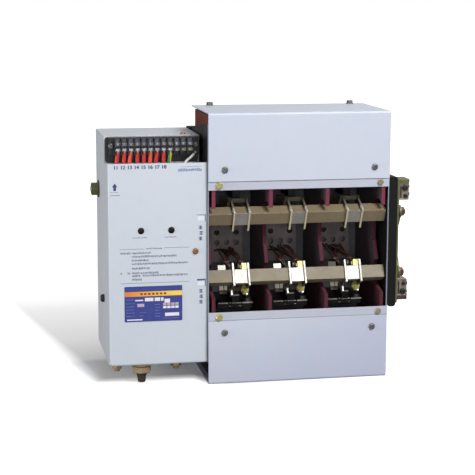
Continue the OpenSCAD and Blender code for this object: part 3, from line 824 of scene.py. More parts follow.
# %% Finishes on the solids
SOLID_FINISHES = {
    "top_cover": cover_paint, "bottom_cover": cover_paint, "front_rail": rail_paint,
    "control_panel": panel_paint, "control_box": wall_paint,
    "side_plate": black_paint, "back_channel": black_paint,
    "pole_base": base_moulding, "phase_barrier": barrier_moulding,
    "line_contact": contact_copper, "load_contact": tinned_copper,
    "bearing_plate": black_laminate, "zinc_plate": green_zinc, "end_lever": green_zinc,
    "earth_bolt": green_zinc, "cable_gland": brass,
    "aux_switches": grey_moulding, "terminal_strip": black_plastic, "panel_buttons": black_plastic,
    "control_leads": red_sleeve, "crossbar": tan_insulation, "shaft": shaft_steel,
    # The upper knives get the silver with painted shade.
    "knife_a": silver_with_painted_shade, "knife_b": silvered_copper,
}
for name, solid in nodes.items():
    start = next(key for key in SOLID_FINISHES if name.startswith(key))
    solid.data.materials.clear()
    solid.data.materials.append(SOLID_FINISHES[start])
print("solids with a finish:", sum(len(solid.data.materials) for solid in nodes.values()))

# %% [markdown]
# Round-headed screws hold the covers. A lathe would turn such a head, so the model starts as a short
# cylinder whose top is extruded inwards twice for the crown, and a cross is cut into it. The one model
# serves the covers, the box and the terminals, each copy in its own size and turned a little differently.

# %% Round-headed screws
COVER_FRONT, PANEL_Y = -71.0, -64.0
BOX_LEFT, BOX_TOP = -263.5, 342.0
COVER_SCREWS = ((-105, 299), (105.5, 299), (-105, 72.9), (105.5, 72.9))
CROSS_FLOOR, CROSS_TOP = 1.4, 3.5

random.seed(11)
pan_model = start_cylinder("pan_model", 4.0, 1.3)
top_face(pan_model)
move_up(0.7, 0.9)
move_up(0.5, 0.74)
for x, y in ((0.5, 2.5), (2.5, 0.5)):
    cut_away(pan_model, start_block("pan_arm", (-x, -y, CROSS_FLOOR), (x, y, CROSS_TOP)))
smooth(pan_model)


def screw(name, spot, facing, scale, slot, made):
    """A copy of the round-headed screw, scaled and turned at random."""
    turn = FACING[facing] @ Matrix.Scale(scale, 4)
    return settle(stamp(pan_model, name, spot, turn, random.uniform(0, 90)), slot, made)


for rank, (x, z) in enumerate(COVER_SCREWS, 1):
    screw(f"cover_screw_{rank}", (x, COVER_FRONT, z), "front", 1.12, "black_steel", grey_steel)
screw("panel_screw", (-144.5, PANEL_Y, 187.5), "front", 1.05, "yellow_zinc", copper_plate)
broad_left = FACING["left"] @ Matrix.Diagonal((1.4, 1.4, 2.1, 1))
settle(stamp(pan_model, "wall_screw", (BOX_LEFT, 2, 112.5), broad_left), "black_steel", dark_steel)
screw("lid_screw", (-151.9, -2.4, BOX_TOP), "up", 0.95, "yellow_zinc", copper_plate)
print("triangles in one screw:", sum(len(face.vertices) - 2 for face in pan_model.data.polygons))

# %% [markdown]
# Hexagon heads are drawn as six-sided cylinders. Extruding the top a little and scaling it in gives the
# turned chamfer, and a washer with rounded edges lies under the head. They hold the rails, the top cover
# at the back and the lower contacts.

# %% Hexagon screws
HEX_SHARE = math.cos(math.radians(30))
CHAMFER = 0.7
RAIL_FRONT, BODY_TOP = -69.5, 376.0
RAIL_SCREWS = ((-112.5, 277.5), (114.5, 277.5), (-112.5, 94.5), (114.5, 94.5))
BAR_T = 8.0
BAR_FRONT, BAR_TOP = -15.0, box_mm("line_contact_b_1")[0][2] + BAR_T


def hexagon(name, flats, height, chamfer, narrow, base=0.0):
    """A six-sided block with a chamfered top, in mm."""
    block = start_cylinder(name, flats / 2 / HEX_SHARE, height, 6, base)
    top_face(block)
    move_up(chamfer, narrow)
    return block


def hex_head(name, flats, height, washer):
    """A chamfered hexagon head, in mm, on a washer of a diameter and thickness."""
    wide, thick = washer
    head = hexagon(name, flats, height - CHAMFER, CHAMFER, 0.85, thick)
    disc = soften(start_cylinder(name + "_washer", wide / 2, thick), thick * 0.3)
    return smooth(join([head, disc], name), 25)


rail_model = hex_head("rail_model", 9.4, 3.4, (10.6, 0.6))
for rank, (x, z) in enumerate(RAIL_SCREWS, 1):
    scale, made = (0.82, shaft_steel) if x > 0 else (0.92, yellow_zinc)
    turn = FACING["front"] @ Matrix.Scale(scale, 4)
    copy = stamp(rail_model, f"rail_screw_{rank}", (x, RAIL_FRONT, z), turn, random.uniform(0, 60))
    settle(copy, "yellow_zinc", made)
lid_model = hex_head("lid_model", 8.0, 4.0, (11.0, 0.9))
for rank, x in enumerate((-102.5, 105.5), 1):
    copy = stamp(lid_model, f"lid_bolt_{rank}", (x, 63, BODY_TOP), "up", 10 + 10 * rank)
    settle(copy, "yellow_zinc", grey_steel)
bar_model = hex_head("bar_model", 8.6, 4.6, (11.4, 1.0))
for rank, pole in enumerate(POLES, 1):
    copy = stamp(bar_model, f"bar_bolt_{rank}", (pole + 20.0, BAR_FRONT + 6.0, BAR_TOP), "up", 15)
    settle(copy, "silvered_copper", grey_steel)
drop(rail_model, lid_model, bar_model)
print("hexagon heads:", len(RAIL_SCREWS) + 2 + len(POLES))

# %% [markdown]
# A painted highlight lies on the front edge of each lower contact. It shows as a broken thin line, so three
# short bright strips with rounded edges lie on the edge of the bar, and a finer one below them.

# %% Painted highlights on the edges of the lower contacts
EDGE_STRIPS = ((-24, -9.5, 0, 1.5), (-7.5, 9, 0, 1.3), (10.5, 26, 0, 1.7), (-8, 9, -5, 0.7))
PROUD = 0.2
for rank, pole in enumerate(POLES, 1):
    strips = []
    for left, right, rise, size in EDGE_STRIPS:
        top = BAR_TOP + rise + PROUD
        strip = start_block("edge_strip", (pole + left, BAR_FRONT - 0.4, top - size),
                            (pole + right, BAR_FRONT + 0.5, top))
        strips.append(soften(strip, 0.25))
    settle(join(strips, f"contact_edge_{rank}"), "silvered_copper", bright_silver)
print("highlighted edge at", round(BAR_FRONT, 2), round(BAR_TOP, 2))

# %% [markdown]
# The bases, barriers and terminal bars are set with a dark compound that fills the play of their joints
# at the back, so no light comes through the poles. A bead beside a base is a thin softened block. A bead
# round a bar is a frame: a block with the bar's section cut out of it, made once and copied to all bars.

# %% Sealed joints at the back of the poles
PLAY, SEAL_DEPTH, SEAL_SKIN = 0.45, 3.0, 0.3
BITE, RING_BITE = 0.05, 0.02
bar_low, bar_high = box_mm("line_contact_b_1")
HALF_SPAN, HALF_T = (bar_high[0] - bar_low[0]) / 2, BAR_T / 2
beads = []
for rank in range(1, len(POLES) + 1):
    low, high = box_mm(f"pole_base_{rank}")
    for left in (low[0] - PLAY + BITE, high[0] - BITE):
        bead = start_block("bead", (left, high[1] - SEAL_DEPTH, low[2] + 0.5),
                           (left + PLAY, high[1] - SEAL_SKIN, high[2] - 0.5))
        beads.append(soften(bead, 0.1))
base_back = high[1]
settle(join(beads, "joint_seals"), "black_plastic", black_plastic)
ring = start_block("ring_model", (-HALF_SPAN - PLAY, 0, -HALF_T - PLAY),
                   (HALF_SPAN + PLAY, SEAL_DEPTH - SEAL_SKIN, HALF_T + PLAY))
cut_away(ring, start_block("ring_hole", (-HALF_SPAN + RING_BITE, -1, -HALF_T + RING_BITE),
                           (HALF_SPAN - RING_BITE, SEAL_DEPTH + 1, HALF_T - RING_BITE)))
levels = (box_mm("line_contact_a_1")[1][2] - HALF_T, (SHAFT_A_Z + SHAFT_B_Z) / 2, BAR_TOP - HALF_T)
rings = [stamp(ring, "ring", (pole, base_back - SEAL_DEPTH, level)) for pole in POLES for level in levels]
settle(join(rings, "slot_seals"), "black_plastic", black_plastic)
drop(ring)
print("sealed joints:", len(beads), "beads and", len(rings), "rings")

# %% [markdown]
# Every knife is clamped to its crossbar by bolts through both blades. Their zinc-plated square nuts sit
# against the right blade, one on each side of the bar. Below the bar both blades end in a short tongue,
# a filled outline that is extruded to the thickness of the blade. All of them ride with the lower bank,
# so their places are worked out in the turned frame of the shaft.

# %% Nuts between the blades
NUTS = (("inner", 9.5, -4.9, -13.4, 26), ("outer", 12.6, 13.0, 14.6, 60))


def on_bank_b(x, back, out):
    """A place in the frame of the lower shaft, its outer side down, as a place in the part's frame."""
    turned_back = back * math.cos(OPEN_TILT) - out * math.sin(OPEN_TILT)
    turned_out = back * math.sin(OPEN_TILT) + out * math.cos(OPEN_TILT)
    return x, SHAFT_Y + turned_back, SHAFT_B_Z - turned_out


nut_model = start_block("nut_model", (-4.8, -4.8, 0), (4.8, 4.8, 7.2))
top_face(nut_model)
for step, widen in ((1.0, 0.84), (0.0, 0.6), (1.6, 0.95)):
    move_up(step, widen)
smooth(soften(nut_model, 0.4), 25)
for rank, pole in enumerate(POLES, 1):
    for side, x, back, out, spin in NUTS:
        nut = stamp(nut_model, f"blade_nut_{side}_{rank}", on_bank_b(pole + x, back, out), "left", spin)
        # The nuts get the zinc with painted light.
        settle(nut, "yellow_zinc", zinc_with_painted_light, "bank_b")
drop(nut_model)
print("nuts between the blades:", len(NUTS) * len(POLES))

# %% Lower ends of the blades
TONGUE = ((12.0, -11.0), (12.6, -22.0), (20.0, -22.0), (22.5, -11.0))
BLADE_T, BLADE_SIDE = 2.5, 10.75
end_model = soften(prism("end_model", TONGUE, BLADE_T), 0.3)
on_edge = Matrix(((0, 0, 1, 0), (1, 0, 0, 0), (0, 1, 0, 0), (0, 0, 0, 1)))
leaning = Matrix.Rotation(-OPEN_TILT, 4, "X") @ on_edge
for rank, pole in enumerate(POLES, 1):
    lefts = [pole + side * BLADE_SIDE - BLADE_T / 2 for side in (-1, 1)]
    ends = [stamp(end_model, "blade_end", (left, SHAFT_Y, SHAFT_B_Z), leaning) for left in lefts]
    settle(join(ends, f"blade_ends_{rank}"), "silvered_copper", bright_silver, "bank_b")
drop(end_model)
print("blade ends:", 2 * len(POLES))

# %% [markdown]
# Thin copper leads carry the current from the fixed plate of a pole to its lower knife. They were bent
# by hand, so no two have the same way. Each is a round strand along a curve with a random bulge, from the
# plate to the top of a blade's arm, where a small lug clamps it.

# %% Copper leads to the lower knives
PLATE_FRONT = box_mm("load_contact_1")[0][1]
STRANDS, STRAND_STEP = 12, 2.6
LUG_X, LUG_HALF = 10.5, 4


def bent(start, rise, end, steps=14):
    """Points on a bow from one place to another through a raised middle, in mm."""
    middle = [(a + b) / 2 + c for a, b, c in zip(start, end, rise)]
    shares = [step / steps for step in range(steps + 1)]
    return [[a * (1 - t) ** 2 + 2 * m * t * (1 - t) + b * t ** 2 for a, m, b in zip(start, middle, end)]
            for t in shares]


for rank, pole in enumerate(POLES, 1):
    pieces = []
    for strand in range(STRANDS):
        side = -1 if strand % 2 else 1
        across = pole - 17 + STRAND_STEP * strand + random.uniform(-1, 1)
        start = (across, PLATE_FRONT + 0.6, random.uniform(163, 172))
        end = (pole + side * LUG_X + random.uniform(-3, 3), random.uniform(-5, 2), 159.8)
        rise = (random.uniform(-7, 7), random.uniform(-8, 8), random.uniform(-4, 16))
        pieces.append(rope(f"strand_{strand}", bent(start, rise, end), random.uniform(0.7, 1.1)))
    for x in (pole - LUG_X, pole + LUG_X):
        lug = start_block("lug", (x - LUG_HALF, -6.0, 158.4), (x + LUG_HALF, 3.0, 160.0))
        pieces.append(soften(lug, 0.6, 3))
    whole = join(pieces, f"copper_leads_{rank}")
    whole.data.materials.clear()
    whole.data.materials.append(braid_copper)
    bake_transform(whole)
print("faces in the leads of one pole:", len(whole.data.polygons))

# %% [markdown]
# The terminal strip has twelve ways. In each way a plated clamp lies above the middle ridge and another
# below it, each with a screw, and a dark marker carrier closes the top. One clamp is modelled: a plate
# whose two sides are folded up by extruding narrow faces. The copies are joined into one piece per row.

# %% Clamp and marker of one terminal
CLAMP_HALF = 3.2
clamp_model = start_block("clamp_model", (-CLAMP_HALF, -2.4, 0.0), (CLAMP_HALF, 2.4, 0.7))
for side in (-1, 1):
    pick(clamp_model, lambda middle, way: way.x * side > ALONG)
    move_out((side * 0.5, 0, 0))
    pick(clamp_model, lambda middle, way: way.z > ALONG and middle.x * side > CLAMP_HALF * MM)
    move_up(1.0)
soften(clamp_model, 0.15)
clamp_screw = stamp(pan_model, "clamp_screw", (0, 0, 0.7), Matrix.Scale(0.62, 4))
clamp_model = join([clamp_model, clamp_screw], "clamp_model")
marker_model = start_block("marker_model", (-3.4, -2.7, 0.0), (3.4, 2.7, 2.6))
top_face(marker_model)
bpy.ops.mesh.inset(thickness=0.7 * MM, depth=-0.5 * MM)
soften(marker_model, 0.25)
print("faces in one clamp:", len(clamp_model.data.polygons))

# %% Terminal strip
STRIP_FRONT, STRIP_MID, TERM_PITCH, TERMS = -30.0, -196.0, 9.0, 12
TERM_ROWS = (("upper", 331.7, clamp_model, "tinned_copper", clamp_tin),
             ("lower", 324.2, clamp_model, "tinned_copper", clamp_cream),
             ("marker", 337.3, marker_model, "black_plastic", marker_grey))
term_x = [STRIP_MID + (rank - (TERMS - 1) / 2) * TERM_PITCH for rank in range(TERMS)]
for row, z, model, slot, made in TERM_ROWS:
    copies = [stamp(model, row, (x, STRIP_FRONT, z), "front", random.uniform(-2, 2)) for x in term_x]
    settle(join(copies, f"terminals_{row}"), slot, made)
for rank, x in enumerate((-255.0, -138.0), 1):
    screw(f"strip_screw_{rank}", (x, STRIP_FRONT, 329.8), "front", 0.95, "black_steel", grey_steel)
drop(marker_model, clamp_model)
print("terminal ways:", len(term_x))

# %% [markdown]
# Nine leads hang from the lower clamps. Each has a sleeve that a lathe profile gives, closed at both ends,
# with a tin lug that reaches under its clamp. They lean by a few degrees, as hand-laid leads do. A thin
# pale lead runs from the right end of the strip to the front edge.

# %% Leads
FLOOR_Z, LEAD_Y, LEAD_L = 306.0, -33.2, 15
LEAD_X = (-248.0, -238.2, -230.6, -219.7, -210.8, -202.2, -194.2, -183.5, -176.0)
RED_LEADS = 8
PALE_WAY = ((-138.6, -29.0, 320.0), (-140.6, -33.0, 318.4), (-143.6, -38.5, 316.8), (-148.6, -46.5, 314.0),
            (-153.4, -53.0, 311.8), (-156.4, -57.4, 310.0), (-157.6, -59.2, 308.0), (-157.8, -59.4, 306.2))
sleeve_model = turned("sleeve_model", (
    (0, 0), (2.75, 0), (2.9, 3), (2.8, 8), (2.95, 12.6), (2.7, 13.8), (1.9, 14.2), (1.8, 15.0),
    (0, 15.0)), 20)
barrel = turned("lug_barrel", ((0, 13.5), (1.9, 13.5), (2.1, 14.2), (2.1, 17.0), (1.6, 17.6), (0, 17.6)), 20)
tongue = soften(start_block("lug_tongue", (-2.7, 0.8, 16.2), (2.7, 2.0, 20.4)), 0.25)
lug_model = join([barrel, tongue], "lug_model")
sleeves, lugs = [], []
for rank, x in enumerate(LEAD_X):
    across = Matrix.Rotation(math.atan((term_x[rank] - 0.6 - x) / LEAD_L), 4, "Y")
    lean = across @ Matrix.Rotation(math.radians(random.uniform(0, 3)), 4, "X")
    sleeves.append(stamp(sleeve_model, f"sleeve_{rank}", (x, LEAD_Y, FLOOR_Z + 0.3), lean))
    lugs.append(stamp(lug_model, f"lug_{rank}", (term_x[rank] - 0.3, LEAD_Y, FLOOR_Z)))
red_leads = settle(join(sleeves[:RED_LEADS], "leads_red"), "red_sleeve", red_sleeve)
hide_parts("control_leads")
settle(join(sleeves[RED_LEADS:], "lead_green"), "red_sleeve", green_sleeve)
settle(join(lugs, "lead_lugs"), "tinned_copper", nickel)
settle(rope("lead_pale", PALE_WAY, 1.6), "red_sleeve", pale_sleeve)
drop(sleeve_model, lug_model)
print("leads:", len(sleeves) + 1)

# %% [markdown]
# The front panel carries two black push buttons, an arrow, rows of small print and a rating plate. The
# print is thin raised ink: its rows are bars of uneven length, the plate has plain fields, and the
# terminals have numbers.

# %% Push buttons
button_model = turned("button_model", (
    (0, 0), (4.5, 0), (4.5, 0.4), (4.2, 0.8), (3.8, 0.8), (3.6, 1.4), (3.2, 2.0), (2.0, 2.5), (0, 2.6)))
caps = [stamp(button_model, "button", (x, PANEL_Y, 217.5), "front") for x in (-219.0, -177.5)]
buttons = settle(join(caps, "push_buttons"), "black_plastic", black_laminate)
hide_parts("panel_buttons")
drop(button_model)
print("button caps:", len(caps))

# %% Helpers for print
INK, INK_SEAT, INK_EDGE = 0.12, 0.05, 0.03


def bars(name, rows, made, slot="black_plastic", back=PANEL_Y):
    """Thin bars of ink from a list of left, right, middle height and size, in mm."""
    strips = [start_block(name, (left, back - INK, z - size / 2), (right, back + INK_SEAT, z + size / 2))
              for left, right, z, size in rows]
    return settle(soften(join(strips, name), INK_EDGE, 1), slot, made)


def words(left, right, z, size):
    """Breaks a row of print into bars of uneven length."""
    row, x = [], left
    while x < right:
        end = min(x + random.uniform(0.7, 2.0), right)
        row.append((x, end, z + size * random.uniform(-0.1, 0.1), size * random.uniform(0.55, 1.0)))
        x = end + random.uniform(0.3, 0.7)
    return row


def fields(lefts, width, z, size):
    """Like bars in one row."""
    return [(left, left + width, z, size) for left in lefts]


print("ink in mm:", INK)

# %% Print on the panel
PRINT_SIZE = 3.1
PRINT_ROWS = (
    (-247.3, -233.8, 187.1), (-231.9, -205.9, 187.1), (-231.9, -170.3, 182.3), (-231.9, -209.2, 176.9),
    (-231.9, -155.3, 172.3), (-231.9, -207.3, 166.0), (-247.3, -245.4, 159.6), (-237.7, -234.2, 159.6),
    (-231.9, -195.3, 159.6), (-231.9, -220.4, 155.8), (-217.5, -155.3, 155.8), (-231.9, -218.4, 150.6))
RULES = [(-248.3, -214.6, 192.6, 0.6), (-187.6, -153.0, 193.4, 0.6), (-247.4, -153.0, 145.6, 0.6)]
LABELS = ((-212.3, -190.5, 193.0, 2.0), (-231.0, -210.7, 208.2, 1.5), (-186.7, -170.3, 208.2, 1.5),
          (-260.8, -248.3, 271.0, 0.9), (-260.8, -247.8, 266.8, 1.4), (-164.0, -136.5, 303.8, 0.9))
small_print = [bar for row in PRINT_ROWS for bar in words(*row, PRINT_SIZE)] + RULES
small_print += [bar for label in LABELS for bar in words(*label)]
bars("small_print", small_print, grey_ink)
bars("top_print", words(-168.0, -135.5, 299.4, 4.4), top_ink)
print("bars of print:", len(small_print))

# %% Marks beside the window
MARK_RIM = [(-142.4, -130.4, 237.4, 0.7), (-142.4, -130.4, 147.4, 2.2),
            (-131.3, -130.5, 233.0, 8.6), (-131.3, -130.5, 142.6, 8.0)]
MARK_SPOTS = ((-137.4, 220.0), (-136.6, 212.4), (-137.4, 204.8),
              (-137.0, 131.6), (-136.6, 124.0), (-137.0, 116.4))
source_marks = list(MARK_RIM)
for x, z in MARK_SPOTS:
    source_marks += [(x - 2.4, x + 2.4, z + rise, 0.9) for rise in (-1.9, 0.0, 1.9)]
    source_marks.append((x - 0.6, x + 0.6, z, 5.0))
bars("source_marks", source_marks, blue_ink)
bars("source_fields", [(-140.6, -132.2, 232.6, 6.0), (-141.4, -132.4, 142.2, 5.0)], pale_ink)
print("strokes of the marks:", len(source_marks))

# %% Arrow and terminal numbers
NUMBERS, FIRST_NUMBER = 8, 11
NUMBER_X, NUMBER_Z, NUMBER_STEP = -252.2, 301.9, 9.27
DIGIT_SIZE, DIGIT_SWELL = 6.8, 0.08
arrow = prism("arrow", ((-1.8, -5), (1.8, -5), (1.8, 0), (3.8, 0), (0, 5), (-3.8, 0), (-1.8, 0)), INK)
arrow_mark = soften(stamp(arrow, "arrow_mark", (-254.0, PANEL_Y, 278.0), "front"), INK_EDGE, 1)
settle(arrow_mark, "black_plastic", dark_ink)
digits = []
for rank in range(NUMBERS):
    only(None)
    bpy.ops.object.text_add()
    digit = named(f"digit_{rank}")
    digit.data.body = str(rank + FIRST_NUMBER)
    digit.data.size = DIGIT_SIZE * MM
    digit.data.offset = DIGIT_SWELL * MM
    digit.data.align_x = "CENTER"
    digit.data.extrude = INK / 2 * MM
    bpy.ops.object.convert(target="MESH")
    for shift in (-0.25, 0.25):
        spot = (NUMBER_X + shift + NUMBER_STEP * rank, PANEL_Y - INK / 2 - shift * 0.1, NUMBER_Z)
        digits.append(stamp(digit, f"number_{rank}", spot, "front"))
    drop(digit)
settle(join(digits, "terminal_numbers"), "black_plastic", blue_ink)
drop(arrow)
print("terminal numbers:", NUMBERS)

# %% [markdown]
# The rating plate is a thin lacquered sheet. Its corners are rounded by bevelling the four edges that run
# through its thickness. A yellow band and plain fields lie on it as a second print.

# %% Rating plate
PLATE_Y = PANEL_Y - 0.5
plate = start_block("rating_plate", (-242.5, PLATE_Y, 91.7), (-163.0, PANEL_Y, 141.0))
pick(plate, lambda middle, way: abs(way.y) > ALONG, "EDGE")
bpy.ops.mesh.bevel(offset=1.2 * MM, segments=4)
settle(soften(plate, 0.12), "pale_paint", plate_blue)
print("rating plate from", [round(value, 4) for value in plate.bound_box[0]])

# %% Print on the rating plate
BAND_Z = 130.4
BAND_MARKS = (-221.0, -215.6, -210.2, -204.8, -199.4, -194.0, -188.6)
FIELD_ROW = (-189.6, -184.0, -178.4, -172.8)
WHITE_FIELDS = [
    (-228.0, -217.0, 121.6, 1.6), (-214.6, -203.0, 122.4, 4.8), (-201.2, -193.6, 122.4, 4.8),
    (-192.4, -189.0, 122.4, 4.8), (-187.6, -180.0, 120.0, 5.4), (-187.0, -167.5, 100.8, 4.6),
    (-239.2, -218.0, 94.6, 1.6)]
ROSE_FIELD = (-225.0, -215.6, 114.6, 4.4)
PLATE_ROWS = ([(-240.4, -229.0, z) for z in (122.6, 117.4, 113.0, 108.8, 104.4, 99.8)]
              + [(-201.0, -194.0, z) for z in (115.2, 111.0, 106.8, 102.6, 98.6)]
              + [(-222.0, -213.0, 104.4), (-222.0, -216.0, 99.8), (-189.0, -168.0, 95.6)])
bars("plate_band", [(-242.3, -163.2, BAND_Z, 6.6)], plate_yellow, "pale_paint", PLATE_Y)
bars("plate_band_print", fields(BAND_MARKS, 3.4, BAND_Z, 2.6), plate_brown, "pale_paint", PLATE_Y - INK)
bars("plate_fields", WHITE_FIELDS + fields(FIELD_ROW, 4.6, 111.0, 3.2), plate_white, "pale_paint", PLATE_Y)
soft_fields = [ROSE_FIELD] + fields(FIELD_ROW, 4.6, 115.4, 3.6)
bars("plate_soft_fields", soft_fields, plate_rose, "pale_paint", PLATE_Y)
plate_lines = [bar for row in PLATE_ROWS for bar in words(*row, 1.0)]
bars("plate_lines", plate_lines, plate_line, "pale_paint", PLATE_Y)
print("bars on the plate:", len(plate_lines))

# %% [markdown]
# On the left wall sits a bolt for the earth lead, and under the box a cable gland and the ends of two
# studs with their nuts. The gland is brass with a tapered rubber end. Its hexagons start as six-sided
# cylinders, its rubber end is turned with an open bore.

# %% Earth bolt
EARTH_Y, EARTH_Z, EARTH_SEAT = 60.0, 259.5, 0.8
earth = hex_head("earth_hex", 17.0, 9.6, (21.0, EARTH_SEAT))
tip = turned("earth_tip", ((0, 9.8), (4.2, 9.8), (4.2, 10.6), (3.6, 11.2), (0, 11.2)))
earth = join([earth, tip], "earth_model")
head = stamp(earth, "earth_head", (BOX_LEFT - EARTH_SEAT, EARTH_Y, EARTH_Z), "left")
settle(head, "yellow_zinc", green_zinc)
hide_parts("earth_bolt")
ring = turned("earth_ring", (
    (4.0, 0), (12.0, 0), (12.4, 0.4), (12.0, 1.5), (10.8, 1.7), (4.0, 1.7), (4.0, 0)))
settle(stamp(ring, "earth_washer", (BOX_LEFT, EARTH_Y, EARTH_Z), "left"), "black_plastic", rubber)
drop(earth, ring)
print("earth bolt head:", [round(value, 4) for value in head.bound_box[0]])

# %% Cable gland
BOX_BOTTOM = 30.0
GLAND_SPOT = (-217.5, -44.0, BOX_BOTTOM)
collar = hexagon("gland_collar", 25.0, 4.2, 0.8, 0.9)
nut = hexagon("gland_nut", 24.0, 7.6, 0.9, 0.9, 5.6)
neck = turned("gland_neck", ((0, 4.6), (9.6, 4.6), (9.6, 6.2), (0, 6.2)))
crown = turned("gland_crown", ((0, 13.6), (9.0, 13.6), (8.8, 14.6), (8.0, 15.2), (0, 15.2)))
gland_model = smooth(join([collar, nut, neck, crown], "gland_brass_model"), 25)
grip = turned("gland_grip_model", (
    (0, 14.8), (7.9, 14.8), (7.9, 16.2), (7.0, 17.4), (6.4, 20.0), (6.0, 21.0), (5.8, 24.0), (5.3, 27.4),
    (4.9, 28.0), (4.0, 28.0), (4.0, 17.0), (0, 17.0)))
gland = settle(stamp(gland_model, "gland_brass", GLAND_SPOT, "down", 12), "yellow_zinc", brass)
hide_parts("cable_gland")
settle(stamp(grip, "gland_grip", GLAND_SPOT, "down"), "black_plastic", rubber)
drop(gland_model, grip)
print("gland reaches down to", round(min(corner[2] for corner in gland.bound_box), 4))

# %% Studs under the box
stud_nut = hex_head("stud_nut", 13.0, 7.0, (17.0, 1.4))
stud_end = turned("stud_end", ((0, 7.5), (4.0, 7.5), (4.0, 11.6), (3.2, 12.4), (0, 12.4)), 24)
stud = join([stud_nut, stud_end], "stud_model")
for rank, (x, spin) in enumerate(((-251.0, 10), (-169.0, 35)), 1):
    settle(stamp(stud, f"stud_{rank}", (x, -41.0, BOX_BOTTOM), "down", spin), "yellow_zinc", brass)
print("height of a stud in m:", round(stud.dimensions.z, 4))
drop(stud)

# %% [markdown]
# Two position switches at the right end feel where the shafts stand. Each is a moulded case with a sheet
# lid, screws and ribs at the front and back and two flat tabs. The case is a block with rounded edges and
# a groove that an inset face pushes in. The lower switch is the same model, turned upside down. The zinc
# plate that carries them has a folded lip at its front.

# %% Case and lid of a position switch
low, high = box_mm("aux_switches")
CASE_X, CASE_Y, CASE_Z = high[0] - low[0] - 3.0, high[1] - low[1], 30.0
LID_H = 6.0
case = start_block("case_model", (0, 0, 0), (CASE_X, CASE_Y, CASE_Z - LID_H))
pick(case, lambda middle, way: abs(way.y) > ALONG or way.x > ALONG)
bpy.ops.mesh.inset(thickness=2.4 * MM, depth=-0.9 * MM, use_individual=True)
soften(case, 0.5)
lid = start_block("lid_model", (-0.2, -0.3, CASE_Z - LID_H - 0.2), (CASE_X + 0.3, CASE_Y + 0.3, CASE_Z))
top_face(lid)
bpy.ops.mesh.inset(thickness=1.6 * MM, depth=-0.6 * MM)
soften(lid, 0.7, 3)
print("position switch case in mm:", [round(value, 1) for value in (CASE_X, CASE_Y, CASE_Z)])

# %% Screws, ribs and tabs of a position switch
FRONT_PLUGS = ((5.5, 6.5, 0.85), (CASE_X - 6.0, 17.5, 1.05), (CASE_X - 5.0, 6.0, 0.7))
PLUG_SEAT, RIB_PROUD = 0.4, 0.9
plugs = []
for rank, (x, z, size) in enumerate(FRONT_PLUGS):
    for y, facing_way in ((PLUG_SEAT, "front"), (CASE_Y - PLUG_SEAT, "back")):
        turn = FACING[facing_way] @ Matrix.Diagonal((size, size, 1.3, 1))
        plugs.append(stamp(pan_model, "plug", (x, y, z), turn, 20 * rank))
for x in (9.5, 12.5):
    rib = start_block("rib", (x, -RIB_PROUD, 3.0), (x + 1.2, CASE_Y + RIB_PROUD, 21.0))
    plugs.append(soften(rib, 0.3))
for y in (CASE_Y * 0.25, CASE_Y * 0.75):
    plugs.append(stamp(pan_model, "plug", (CASE_X, y, 19.0), FACING["right"] @ Matrix.Scale(0.8, 4)))
    tab = start_block("tab", (CASE_X - 1.0, y - 0.5, 5.0), (CASE_X + 2.8, y + 0.5, 10.0))
    plugs.append(soften(tab, 0.2))
plug_head = turned("plug_head", ((0, 0), (3.4, 0), (3.6, 0.6), (3.4, 3.0), (2.6, 3.8), (0, 4.0)), 24)
plugs.append(stamp(plug_head, "plug_big", (CASE_X, CASE_Y * 0.5, 25.5), "right"))
plugs = join(plugs, "plugs_model")
print("faces in the small parts of a switch:", len(plugs.data.polygons))

# %% Position switches and the lip of their plate
upper_spot, lower_spot = (low[0], low[1], high[2] - CASE_Z), (low[0], high[1], low[2] + CASE_Z)
SWITCHES = ((upper_spot, "up", green_zinc), (lower_spot, "down", rubber))
for rank, (spot, turn, lid_finish) in enumerate(SWITCHES, 1):
    body = settle(stamp(case, f"position_switch_{rank}", spot, turn), "grey_moulding", grey_moulding)
    settle(stamp(lid, f"position_lid_{rank}", spot, turn), "yellow_zinc", lid_finish)
    settle(stamp(plugs, f"position_plugs_{rank}", spot, turn), "black_steel", dark_steel)
    if rank == 1:
        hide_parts("aux_switches")
drop(case, lid, plugs, plug_head)
low, high = box_mm("zinc_plate")
lip = start_block("zinc_lip", (low[0] + 0.2, low[1] - 0.8, low[2] + 1.0),
                  (low[0] + 3.4, low[1] + 0.9, high[2] - 1.0))
pick(lip, lambda middle, way: way.z > ALONG)
move_out((-1.6, 0, 1.8))
settle(soften(lip, 0.4), "yellow_zinc", green_zinc)
print("lip of the zinc plate in m:", [round(value, 4) for value in lip.dimensions])

# %% [markdown]
# The shafts end in a hexagon head outside the levers. A turned cap with a shallow dome closes each head,
# and rides with its own bank.

# %% Caps on the shaft ends
cap_model = turned("cap_model", ((0, -0.2), (4.6, -0.2), (4.6, 0.5), (4.0, 1.3), (2.4, 1.9), (0, 2.1)), 24)
for bank, z in (("a", SHAFT_A_Z), ("b", SHAFT_B_Z)):
    end = box_mm(f"shaft_{bank}")[1][0]
    cap = stamp(cap_model, f"shaft_cap_{bank}", (end, SHAFT_Y, z), "right")
    settle(cap, "shaft_steel", dark_steel, f"bank_{bank}")
drop(cap_model, pan_model)
print("shaft ends at", round(end, 2))

# %% [markdown]
# The studio has a pale floor and one wide soft lamp high at the front, slightly to the right, as in a
# product picture. Weak lamps lift the inside, the left wall and the top. The floor glows white to the camera
# far from the switch, so that no horizon shows, and keeps the lamps' shadow near it. Near the switch the glow
# is painted light as well: it whitens the floor in front of the box and the body, towards the back and left
# of a slanting line, so that only a strip of shadow beside the box stays. The world is white for the camera
# and for reflections and dimmer for everything else.

